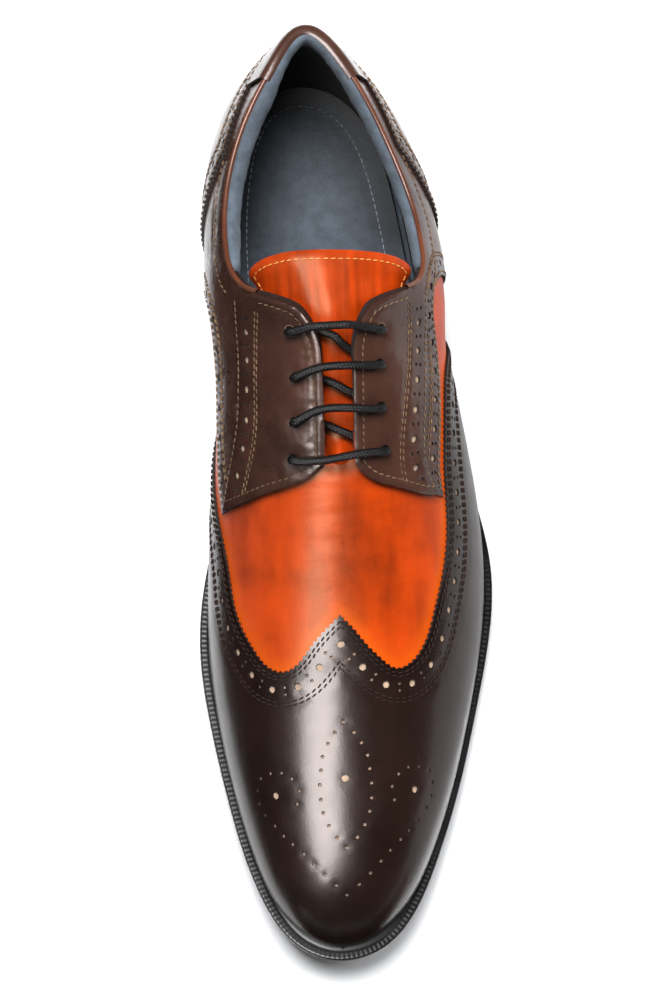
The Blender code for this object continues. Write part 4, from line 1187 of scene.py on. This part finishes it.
class BROGUE_OT_vamp(bpy.types.Operator):
    """Vamp and its inside: the orange leather under the panels, with creases below the throat"""

    bl_idname = "brogue.vamp"
    bl_label = "Vamp"

    def execute(self, context):
        inset = 1.4
        back = np.linspace(0, 1, 40)[1:-1]
        w_top = float(top_rise(np.array([LAST_START]), 1, inset)[0])
        loop = np.concatenate([
            top_line(-1, LAST_START, 142.0, inset, 160), top_line(-1, 142.3, 151.9, inset - 0.6, 24),
            [(float(turn(152.2)), 0.0)],
            top_line(1, 151.9, 142.3, inset - 0.6, 24), top_line(1, 142.0, LAST_START, inset, 160),
            [(0.0, 1 - w_top * (1 - b)) for b in back],
            level(0.0, 1.0, 1.0, 240), level(1.0, 0.0, -1.0, 240)[1:],
            [(0.0, -(1 - w_top * b)) for b in back],
        ])
        holes = eyelet_holes(-1) + eyelet_holes(1)
        rings = [ring(front, spot, radius, 16) for spot, radius in holes]
        fine = []
        for s in np.arange(153.5, 190.0, 1.3):
            q = np.linspace(-0.5, 0.5, 50)
            fine.append(np.stack([np.full(50, float(turn(s))), q], -1))
        points, tris, _ = cut(loop, rings, fine, 2.4)
        s = station(points[:, 0])
        flat = front(points)
        off = self.creases(flat)
        slot_end = np.concatenate([top_line(-1, 140.0, 151.9, 0.8, 40), top_line(1, 151.9, 140.0, 0.8, 40)])
        slot = near_lines(flat, [front(slot_end)])
        off = off - 1.3 * np.exp(-(slot / 3.5)**2) * ease((s - 144.0) / 6.0)
        verts = front(points, off)
        mats = [finish_of("vamp calf"), finish_of("lining"), finish_of("dark edge")]
        piece = mesh_piece("vamp", verts, tris, mats)
        thicken(piece, 1.9, 2, 1)
        # Behind the side panels the leather under the quarters is brown.
        piece.data.materials.append(finish_of("quarter calf"))
        for face in piece.data.polygons:
            if face.material_index == 0 and face.center.y > 0.078:
                face.material_index = 3
        seams = [front(curve(side, WING[side])) for side in (-1, 1)]
        store_seam_tone_and_painted_shade(piece, seams, 3.2)
        finish(piece, ["upper"])
        self.lining()
        return {"FINISHED"}

    def creases(self, place):
        """Soft troughs across the vamp below the throat, where it bends."""
        # Station at the middle, station at the ends, reach each side, depth, half width.
        rows = [
            (158.5, 161.5, 22.0, 0.10, 1.3), (162.0, 164.0, 27.0, 0.05, 1.1), (166.5, 169.5, 30.0, 0.09, 1.6),
            (170.0, 172.0, 24.0, 0.04, 1.2), (175.5, 179.0, 32.0, 0.09, 2.2), (182.0, 184.0, 26.0, 0.04, 1.8),
            (190.0, 195.0, 30.0, 0.07, 2.8),
        ]
        x = place[:, 0] + 4.5
        s = SOLE_LENGTH / 2 - place[:, 1]
        off = np.zeros(len(place))
        for mid, end, reach, depth, wide in rows:
            line = mid + (end - mid) * (x / reach)**2 + 0.5 * np.sin(x * 0.33 + mid)
            fade = np.exp(-(x / reach)**4)
            off = off - depth * fade * np.exp(-((s - line) / wide)**2)
            off = off + 0.4 * depth * fade * np.exp(-((s - line - 1.9 * wide) / (1.2 * wide))**2)
        return off

    def lining(self):
        """The padded lining round the collar, rolled over the top edge."""
        t, s, top = round_top(93.5, 261)
        # Depth below the top edge in millimetres, distance from the last's outside.
        section = [(1.4, -0.1), (0.5, 0.0), (-0.2, -0.35), (-0.5, -1.0), (-0.45, -1.8), (0.1, -2.6),
                   (1.4, -3.3), (3.5, -3.75), (6.5, -3.8), (10.0, -3.55), (15.0, -3.1), (21.0, -2.65),
                   (29.0, -2.35), (40.0, -2.25), (55.0, -2.2), (70.0, -2.2), (85.0, -2.2)]
        # The padding is thicker along the medial side, thins out towards the facings and puckers a little.
        pad = np.where(t < 0, 1.75, 1.2)
        pad = 1 + (pad - 1) * ease((s - 8.0) / 20.0) * (1 - ease((s - 72.0) / 20.0))
        pad = pad + 0.05 * np.sin(s * 0.9) * np.sin(s * 0.37 + 1.0)
        size = rise_size(t, top)
        levels = []
        for depth, off in section:
            w = np.maximum(top - (depth + 6.0 * ease((s - 83.0) / 10.0)) / size, 0.03)
            levels.append(rear(np.stack([t, w], -1), off - (pad - 1) * max(0.0, -off - 2.1) * 1.6))
        faces = grid(len(levels), len(t))
        piece = mesh_piece("collar_lining", np.concatenate(levels), faces, [finish_of("lining")])
        thicken(piece, 0.15, 0)
        # Painted shade on the lining from about 15 mm below the top edge down.
        store_seam_tone_and_painted_shade(piece, levels[10:], 7.0)
        finish(piece, angle=70.0)


class BROGUE_OT_tongue(bpy.types.Operator):
    """Tongue with its folded edge, soft folds and edge stitches"""

    bl_idname = "brogue.tongue"
    bl_label = "Tongue"

    def execute(self, context):
        half = curve(1, TONGUE_SIDE)
        line = np.concatenate([half, (half * np.array([1.0, -1.0]))[-2::-1]])
        ends = level(line[-1, 0], line[0, 0], 0.0, 30)
        ends[:, 1] = np.linspace(line[-1, 1], line[0, 1], 30)
        edge = walk(bridged, line, 1.5)
        loop = np.concatenate([edge, ends[1:-1]])
        within = [sidestep(bridged, edge, d)[8:-8] for d in (1.0, 3.2)]
        points, tris, kind = cut(loop, [], within, 2.0)
        deep = self.depth(points, kind)
        piece = mesh_piece("tongue_cover", bridged(points, -deep), tris, [finish_of("tongue calf")])
        thicken(piece, 2.0, 0)
        store_seam_tone_and_painted_shade(piece, [bridged(edge, -6.3)], 3.0)
        finish(piece, ["tongue"], 60.0)

        def sheet(p, off=0.0):
            return bridged(p, off - self.depth(p, np.zeros(len(p)) + 9))

        thread = sew("tongue_stitches", [(sheet, within[1], 0.0)], "orange thread", slant=0.1)
        finish(thread)
        return {"FINISHED"}

    def depth(self, points, kind):
        """How far the tongue lies under the last's outside."""
        s = station(points[:, 0])
        girth = points[:, 1] * 95.0
        deep = 2.3 + 4.0 * (1 - ease((s - 151.0) / 10.0)) + 2.0 * (1 - ease((s - 92.0) / 22.0))
        deep = deep - 3.0 * (points[:, 1] / 0.4)**2 * (1 - ease((s - 88.0) / 10.0))
        bridge = ease((s - 144.0) / 7.0) * (1 - ease((s - 152.5) / 6.0)) * np.exp(-(girth / 4.2)**2)
        deep = deep - 4.6 * bridge
        for mid, amount, wide in ((-21.0, 0.35, 3.5), (-9.0, 0.3, 3.0), (4.0, 0.35, 3.2), (15.0, 0.3, 3.6)):
            deep = deep + amount * np.exp(-((girth - mid) / wide)**2) * (1 - ease((s - 108.0) / 25.0))
        return deep + 0.7 * (kind == 0) + 0.15 * (kind == 2)


class BROGUE_OT_wing(bpy.types.Operator):
    """Wing cap: pinked and brogued edge, stitch rows and toe medallion"""

    bl_idname = "brogue.wing"
    bl_label = "Wing cap"

    def execute(self, context):
        edges = {side: curve(side, WING[side]) for side in (-1, 1)}
        foot = {side: float(edges[side][0, 0]) for side in (-1, 1)}
        loop = np.concatenate([
            pinked(front, edges[-1], -1), pinked(front, edges[1], 1)[::-1][1:],
            level(foot[1], 1.0, FOOT_EDGE, 240), level(1.0, foot[-1], -FOOT_EDGE, 240),
        ])
        lines = []
        rows = []
        holes = []
        for side in (-1, 1):
            span = (-0.965, -0.004) if side < 0 else (0.004, 0.965)
            base = edges[side][::-1]
            for depth in (1.75, 2.95, 10.5, 11.8):
                line = clip(walk(front, sidestep(front, base, -side * depth), 1.2), *span)
                lines.append(line)
                rows.append((front, line, LOW_LAYER))
            strip = clip(walk(front, sidestep(front, base, -side * 6.5), 0.8), *span)
            found = broguing(front, strip, side, 0.0, first=1 if side > 0 else 0)
            if side < 0:
                found[0] = (np.array([found[0][0][0], 0.0]), found[0][1])
            holes += found
        holes += self.medallion()
        piece = panel("wing_cap_leather", front, loop, holes, lines, LOW_LAYER, "wing calf")
        seams = [front(edges[side], LOW_LAYER) for side in (-1, 1)]
        store_seam_tone_and_painted_shade(piece, seams, 5.0)
        finish(piece, ["wing_cap"])
        finish(backing("wing_punch_backing", front, holes, 0.4))
        finish(sew("wing_stitches", rows, "dark thread", width=0.6))
        return {"FINISHED"}

    def medallion(self):
        """Holes of the toe medallion, alike on both sides of the middle line."""
        holes = []
        small = mm("small_hole") * 1.05
        tables = ((MEDALLION_ALMOND, small), (MEDALLION_CURL, small), (MEDALLION_LARGE, mm("large_hole")))
        for rows, radius in tables:
            for s, distance in rows:
                for side in (-1, 1):
                    if distance == 0 and side > 0:
                        continue
                    q = np.linspace(0, 1, 200)
                    line = front(np.stack([np.full(200, float(turn(s))), side * q], -1))
                    at = np.interp(distance + 0.3 * side, run_along(line), q) if distance else 0.0
                    holes.append((np.array([float(turn(s)), side * at]), radius))
        return holes


class BROGUE_OT_quarters(bpy.types.Operator):
    """Quarters with their brogued lower strip, and the folded edge round the collar"""

    bl_idname = "brogue.quarters"
    bl_label = "Quarters"

    def execute(self, context):
        rows = []
        backs = []
        for side, name in SIDES:
            lower = curve(side, QUARTER_LOWER[side])
            t0 = 1 / 30
            s0 = float(station(t0))
            w_top = float(top_rise(np.array([s0]), side, 0.9)[0])
            rises = np.linspace(0.001, w_top, 40)[1:-1]
            lower = clip(lower, -0.985, 0.985)
            loop = np.concatenate([
                top_line(side, s0, 146.0, 0.9, 170), curve(side, FACING_FRONT[side])[1:-1],
                pinked(front, lower, side), level(lower[-1, 0], t0, side * FOOT_EDGE, 60)[1:],
                [(t0, side * (1 - w)) for w in rises],
            ])
            strip = walk(front, lower, 0.8)
            found = broguing(front, strip[6:], side, 4.3, pair=0.9, keep=0.93)
            lines = []
            for depth in (1.6, 6.9, 8.0):
                line = clip(walk(front, sidestep(front, strip, side * depth), 1.2), -0.965, 0.965)[3:]
                lines.append(line)
                rows.append((front, line, LOW_LAYER))
            collar = top_line(side, 46.0, 92.0, 10.0, 60)
            lines.append(collar)
            rows.append((front, collar, LOW_LAYER))
            holes = eyelet_holes(side) + found
            node = "quarter_" + name
            piece = panel(node + "_leather", front, loop, holes, lines, LOW_LAYER, "quarter calf")
            store_seam_tone_and_painted_shade(piece, [front(lower, LOW_LAYER)], 4.0)
            finish(piece, [node])
            backs += found
        finish(backing("quarter_punch_backing", front, backs, 0.4))
        finish(sew("quarter_stitches", rows, "tan thread"))
        self.fold()
        return {"FINISHED"}

    def fold(self):
        """The turned-in top edge of the quarters."""
        t, _, top = round_top(97.0, 321, 0.75)
        verts, faces = tube(rear(np.stack([t, top], -1), 0.62), 0.95, 10)
        piece = mesh_piece("topline_fold", verts, faces, [finish_of("fold calf")])
        outward(piece)
        finish(piece, angle=80.0)


class BROGUE_OT_facings(bpy.types.Operator):
    """Facings with punched eyelets, brogued outer strip and edge stitches"""

    bl_idname = "brogue.facings"
    bl_label = "Facings"

    def execute(self, context):
        rows = []
        backs = []
        for side, name in SIDES:
            top = top_line(side, 96.5, 146.0, 0.6, 110)
            end = curve(side, FACING_FRONT[side])
            outer = curve(side, FACING_OUTER[side])
            inner = walk(front, np.concatenate([top, end]), 1.2)
            loop = np.concatenate([inner, pinked(front, outer, side)])
            strip = walk(front, outer, 0.8)
            found = broguing(front, strip[5:-5], side, 6.2)
            clear = near_lines(front(np.array([spot for spot, _ in found])), [front(inner)])
            found = [hole for hole, d in zip(found, clear) if d > 4.4]
            lines = [sidestep(front, inner, side * 2.7)[3:-3]]
            for depth in (1.8, 10.8, 12.0):
                line = walk(front, sidestep(front, strip, side * depth), 1.2)
                lines.append(line[inside(line, loop) & (near_lines(front(line), [front(inner)]) > 2.9)])
            rows += [(front, line, HIGH_LAYER) for line in lines]
            holes = eyelet_holes(side) + found
            node = "facing_" + name
            piece = panel(node + "_leather", front, loop, holes, lines, HIGH_LAYER, "quarter calf",
                          spacing=1.0, lift=lambda p, side=side: self.pulls(p, side))
            store_seam_tone_and_painted_shade(piece, [front(outer, HIGH_LAYER)], 4.0)
            finish(piece, [node])
            backs += found
        finish(backing("facing_punch_backing", front, backs, 1.8))
        finish(self.rims(), angle=80.0)
        finish(sew("facing_stitches", rows, "tan thread"))
        return {"FINISHED"}

    def rims(self):
        """The pressed rim of each eyelet and the wall of its hole."""
        # Distance from the hole's middle and from the last's outside, round the rim's section.
        radius = mm("eyelet")
        section = [(radius + 0.4, 2.2), (radius + 0.3, 2.42), (radius + 0.15, 2.46), (radius, 2.36),
                   (radius - 0.06, 2.2), (radius - 0.06, -1.8)]
        verts = []
        faces = []
        for spot, _ in eyelet_holes(-1) + eyelet_holes(1):
            base = len(verts)
            for reach, off in section:
                verts.extend(front(ring(front, spot, reach, 24), off))
            faces += [tuple(base + i for i in face) for face in grid(len(section), 24, True)]
        return mesh_piece("eyelet_rims", np.array(verts), faces, [finish_of("rim")])

    def pulls(self, points, side):
        """Dimples round the eyelets and short pull creases towards the lace."""
        place = front(points)
        eyes = front(np.array([spot for spot, _ in eyelet_holes(side)]))
        off = np.zeros(len(points))
        for eye in eyes:
            d = np.linalg.norm(place - eye, axis=1)
            off = off - 0.35 * np.exp(-(d / 4.0)**2)
        # Swellings the lace pulls up between the eyelets: station, rise, reach, height.
        swellings = [(143.0, 0.80, 6.0, 0.45), (131.0, 0.80, 5.5, 0.35), (117.5, 0.80, 5.5, 0.3),
                     (153.0, 0.74, 5.0, 0.3), (150.0, 0.62, 7.0, 0.3)]
        for s, w, reach, height in swellings:
            d = np.linalg.norm(place - front(np.array([spot_at(side, s, w)])), axis=1)
            off = off + height * np.exp(-(d / reach)**2)
        # Pull creases slanting up to the slot: station and rise of the middle, half length and width, depth.
        rows = {
            -1: [(117.0, 0.86, 4.5, 0.8, 0.28), (120.0, 0.855, 5.0, 0.8, 0.3), (123.0, 0.87, 3.5, 0.7, 0.2),
                 (133.0, 0.87, 4.0, 0.8, 0.2), (144.0, 0.87, 4.0, 0.9, 0.25), (151.5, 0.72, 6.0, 1.2, 0.2)],
            1: [(117.5, 0.87, 3.5, 0.8, 0.2), (142.0, 0.88, 4.0, 0.9, 0.18), (150.5, 0.82, 5.0, 1.1, 0.2)],
        }
        slant = unit(np.array([-side * 0.75, 0.66, 0.0]))
        for s, w, long, wide, depth in rows[side]:
            step = place - front(np.array([spot_at(side, s, w)]))
            along = step @ slant
            across = np.sqrt(np.maximum(np.sum(step * step, axis=1) - along**2, 0.0))
            off = off - depth * np.exp(-(along / long)**2 - (across / wide)**2)
        return off


class BROGUE_OT_heel_panels(bpy.types.Operator):
    """Heel counter with its brogued edge, and the tab over the back of the collar"""

    bl_idname = "brogue.heel_panels"
    bl_label = "Heel panels"

    def execute(self, context):
        rows = np.array(COUNTER_FRONT)
        chord = np.stack([turn(rows[:, 0]), rows[:, 1]], -1) * SHEET
        run = run_along(chord)
        edge = smoothed(chord, run, np.linspace(0, run[-1], 120)) / SHEET
        mirror = edge * np.array([-1.0, 1.0])
        ring_t = np.linspace(-edge[0, 0], edge[0, 0], 60)
        top = np.interp(np.abs(ring_t), [0.0, edge[0, 0]], [COUNTER_TOP, edge[0, 1]])
        upper = np.stack([ring_t, top], -1)
        whole = np.concatenate([mirror[::-1], upper[1:-1], edge])
        foot = np.stack([np.linspace(edge[-1, 0], -edge[-1, 0], 120), np.full(120, 0.001)], -1)
        loop = np.concatenate([pinked(rear, whole, -1), foot[1:-1]])
        strip = walk(rear, whole, 0.8)
        holes = broguing(rear, strip[8:-8], -1, 5.6)
        lines = []
        for depth in (1.7, 9.4, 10.6):
            line = walk(rear, sidestep(rear, strip, -depth), 1.2)[4:-4]
            lines.append(line[near_lines(rear(line), [rear(strip)]) > 0.85 * depth])
        piece = panel("counter_leather", rear, loop, holes, lines, HIGH_LAYER, "quarter calf", flip=True)
        store_seam_tone_and_painted_shade(piece, [rear(whole, HIGH_LAYER)], 4.0)
        finish(piece, ["heel_counter"])
        finish(backing("counter_punch_backing", rear, holes, 1.8, True))
        rows = [(rear, line, HIGH_LAYER) for line in lines]
        finish(sew("counter_stitches", rows, "tan thread"))
        self.tab()
        return {"FINISHED"}

    def tab(self):
        """The tab: up the back, over the top edge and a little way inside."""
        t, _, top = round_top(20.0, 91)
        size = rise_size(t, top)
        corner, rise = COUNTER_FRONT[0]
        counter = np.interp(np.abs(t), [0.0, float(turn(corner))], [COUNTER_TOP, rise])
        low = np.maximum(top - 22.0 / size, counter + 0.004)
        high = top - 2.0 / size
        levels = []
        for part in (0.0, 0.25, 0.5, 0.75, 1.0):
            levels.append(rear(np.stack([t, low + (high - low) * part], -1), HIGH_LAYER))
        # Over the top edge: depth below it, distance from the last's outside.
        fold = [(0.8, 2.5), (-0.1, 1.9), (-0.6, 1.0), (-0.75, -0.2), (-0.5, -1.2), (0.1, -1.9), (1.0, -2.4)]
        for depth, off in fold:
            levels.append(rear(np.stack([t, top - depth / size], -1), off))
        faces = grid(len(levels), len(t), flip=True)
        mats = [finish_of("quarter calf"), finish_of("dark edge")]
        piece = mesh_piece("heel_tab_leather", np.concatenate(levels), faces, mats)
        thicken(piece, 0.8)
        finish(piece, ["heel_tab"], 60.0)


class BROGUE_OT_lace(bpy.types.Operator):
    """One round lace: bars over the facings, slants under them, ends inside at the top and bottom eyelets"""

    bl_idname = "brogue.lace"
    bl_label = "Lace"

    def execute(self, context):
        path = self.route()
        length = run_along(path)
        sides = 12
        verts, faces = tube(path, mm("lace"), sides)
        last = (len(path) - 1) * sides
        faces += [tuple(range(sides))[::-1], tuple(last + i for i in range(sides))]
        mesh = bpy.data.meshes.new("lace_braid")
        mesh.from_pydata((verts * 0.001).tolist(), [], faces)
        uv = mesh.uv_layers.new(name="braid")
        girth = 2 * np.pi * mm("lace")
        for face in mesh.polygons:
            wraps = [i % sides for i in face.vertices]
            for corner, vert in zip(face.loop_indices, face.vertices):
                around = vert % sides
                if max(wraps) == sides - 1 and around == 0 and len(wraps) == 4:
                    around = sides
                uv.data[corner].uv = (length[vert // sides], around / sides * girth)
        piece = linked("lace_braid", mesh, [finish_of("lace")])
        outward(piece)
        finish(piece, ["lace"], 60.0)
        return {"FINISHED"}

    def route(self):
        """Points along the lace."""
        # Height of the lace's middle over the facings and under the vamp, and how far a bend reaches.
        over = HIGH_LAYER + 0.4 + 1.25
        under = -2.0 - 0.5 - 1.25
        bend = 1.5
        path = []

        def pass_through(side, eye, heights):
            spot = np.array([spot_at(side, *eye)])
            for height in heights:
                path.append(front(spot, height)[0])

        def run(side_a, a, side_b, b, off, count, bow=(0.0, 0.0)):
            p = np.array([a[0], side_a * (1 - a[1])])
            q = np.array([b[0], side_b * (1 - b[1])])
            share = np.linspace(0, 1, 60)
            line = p + (q - p) * share[:, None]
            near_end = np.exp(-((share - 0.87) / 0.09)**2)
            line[:, 0] += bow[0] * np.sin(np.pi * share**1.5)**1.3 + bow[1] * near_end
            line[:, 0] = turn(line[:, 0])
            points = front(line, off)
            length = run_along(points)
            path.extend(resampled(points, length, np.linspace(bend, length[-1] - bend, count)))

        shallow = 0.42 * bend
        down = [over - shallow, over - bend, under + bend, under + shallow]
        pass_through(1, EYELETS[1][0], down[2:1:-1] + down[1::-1])
        for i in range(4):
            run(1, EYELETS[1][i], -1, EYELETS[-1][i], over, 16, LACE_BOWS[i])
            pass_through(-1, EYELETS[-1][i], down[:3] if i == 3 else down)
            if i < 3:
                run(-1, EYELETS[-1][i], 1, EYELETS[1][i + 1], under, 8)
                pass_through(1, EYELETS[1][i + 1], down[::-1])
        path = np.array(path)
        run_at = run_along(path)
        return smoothed(path, run_at, np.linspace(0, run_at[-1], 420))


class BROGUE_OT_stage(bpy.types.Operator):
    """Pale floor, soft light, cards for the reflections and the camera"""

    bl_idname = "brogue.stage"
    bl_label = "Stage"

    def execute(self, context):
        scene = context.scene
        bpy.ops.object.select_all(action="DESELECT")
        bpy.ops.mesh.primitive_plane_add(size=6.0, location=(0, 0, 0))
        floor = context.object
        floor.name = "studio_floor"
        # Matt white paper sweep.
        made, tree, shader, _ = start("studio_paper", 0.7, specular=0.3)
        plug(tree, shader, {"Base Color": rgba(linear("#f2f3f5"))})
        floor.data.materials.append(made)
        world = bpy.data.worlds.new("studio_air")
        scene.world = world
        world.use_nodes = True
        # The room is dim for the shoe, pale behind it.
        tree = world.node_tree
        seen = add(tree, "ShaderNodeLightPath").outputs["Is Camera Ray"]
        strength = between(tree, seen, 0.04, 0.9)
        plug(tree, tree.nodes["Background"], {"Color": rgba(linear("#eef2f6")), "Strength": strength})
        # Name, place, size, power, whether it only shows as a shine; the others only light the shoe.
        lamps = [("key", (-0.2, 0.35, 1.5), (0.8, 0.8), 44.0, False),
                 ("shine", (-0.59, -0.42, 1.45), (0.9, 1.0), 58.0, True),
                 ("fill", (0.9, 0.35, 1.3), (1.4, 1.4), 9.0, False),
                 ("low", (1.0, 0.2, 0.5), (0.6, 0.6), 5.0, False)]
        for name, place, size, power, mirrored in lamps:
            lamp = bpy.data.lights.new(name, "AREA")
            lamp.shape = "RECTANGLE"
            lamp.size, lamp.size_y = size
            lamp.energy = power
            body = bpy.data.objects.new(name, lamp)
            body.location = place
            body.visible_glossy = mirrored
            body.visible_diffuse = not mirrored
            ahead = Vector((0, -0.05, 0.05)) - Vector(place)
            body.rotation_euler = ahead.to_track_quat("-Z", "Y").to_euler()
            scene.collection.objects.link(body)
        self.cards()
        self.camera(scene)
        scene.view_settings.view_transform = "Standard"
        return {"FINISHED"}

    def cards(self):
        """Cards seen only as reflections: the other shoe, the dim table before the toe and beside it."""
        upright = math.pi / 2
        cards = (("dark_card", (-0.075, 0.0, 0.045), upright, (0.09, 0.36, 1.0), "#150d0b"),
                 ("dark_apron", (0.03, -0.33, 0.001), 0.0, (0.46, 0.34, 1.0), "#150d0b"),
                 ("grey_apron", (0.25, 0.12, 0.001), 0.0, (0.4, 0.56, 1.0), "#a9a9ab"))
        for name, place, turned, size, tone in cards:
            bpy.ops.mesh.primitive_plane_add(size=1.0, location=place, rotation=(0, turned, 0))
            card = bpy.context.object
            card.name = name
            card.scale = size
            bpy.ops.object.transform_apply(location=True, rotation=True, scale=True)
            # Matt coloured paper.
            made, tree, shader, _ = start(name + "_paper", 0.9, specular=0.0)
            plug(tree, shader, {"Base Color": rgba(linear(tone))})
            card.data.materials.append(made)
            card.visible_camera = False
            card.visible_diffuse = False
            card.visible_shadow = False

    def camera(self, scene):
        """The camera stands where the photograph was taken, turned to the one shoe."""
        eye = Vector((-0.06355, -0.27136, 1.158))
        target = Vector((-0.004, -0.002, 0.04))
        photo_up = Vector((0.04175, 0.97188, 0.23175))
        ahead = (target - eye).normalized()
        right = ahead.cross(photo_up).normalized()
        up = right.cross(ahead)
        view = bpy.data.cameras.new("view")
        view.sensor_fit = "VERTICAL"
        # The photo's focal length in pixels, its height, and how much closer this picture is framed.
        view.sensor_height = 24.0
        view.lens = 24.0 * 2427.0 * 1.42 / 1000.0
        body = bpy.data.objects.new("view", view)
        body.matrix_world = Matrix((
            (right.x, up.x, -ahead.x, eye.x),
            (right.y, up.y, -ahead.y, eye.y),
            (right.z, up.z, -ahead.z, eye.z),
            (0, 0, 0, 1),
        ))
        scene.collection.objects.link(body)
        scene.camera = body


class BROGUE_PT_panel(bpy.types.Panel):
    """The brogue's pieces in the sidebar"""

    bl_idname = "BROGUE_PT_panel"
    bl_label = "Brogue"
    bl_space_type = "VIEW_3D"
    bl_region_type = "UI"
    bl_category = "Brogue"

    def draw(self, context):
        layout = self.layout
        for group in (context.scene.brogue_sizes, context.scene.brogue_colours):
            for name in group.__annotations__:
                layout.prop(group, name)
        for kind in PIECES:
            layout.operator(kind.bl_idname)


PIECES = (BROGUE_OT_stage, BROGUE_OT_sole, BROGUE_OT_insole, BROGUE_OT_vamp, BROGUE_OT_tongue, BROGUE_OT_wing,
          BROGUE_OT_quarters, BROGUE_OT_facings, BROGUE_OT_heel_panels, BROGUE_OT_lace)
CLASSES = (BrogueSizes, BrogueColours) + PIECES + (BROGUE_PT_panel,)


def register():
    """Register the classes and hang the settings on the scene."""
    for kind in CLASSES:
        bpy.utils.register_class(kind)
    bpy.types.Scene.brogue_sizes = PointerProperty(type=BrogueSizes)
    bpy.types.Scene.brogue_colours = PointerProperty(type=BrogueColours)


def unregister():
    """Take the settings and classes away again."""
    del bpy.types.Scene.brogue_colours
    del bpy.types.Scene.brogue_sizes
    for kind in reversed(CLASSES):
        bpy.utils.unregister_class(kind)


def main():
    """Build every piece in order."""
    register()
    for kind in PIECES:
        group, name = kind.bl_idname.split(".")
        getattr(getattr(bpy.ops, group), name)()


if __name__ == "__main__":
    main()
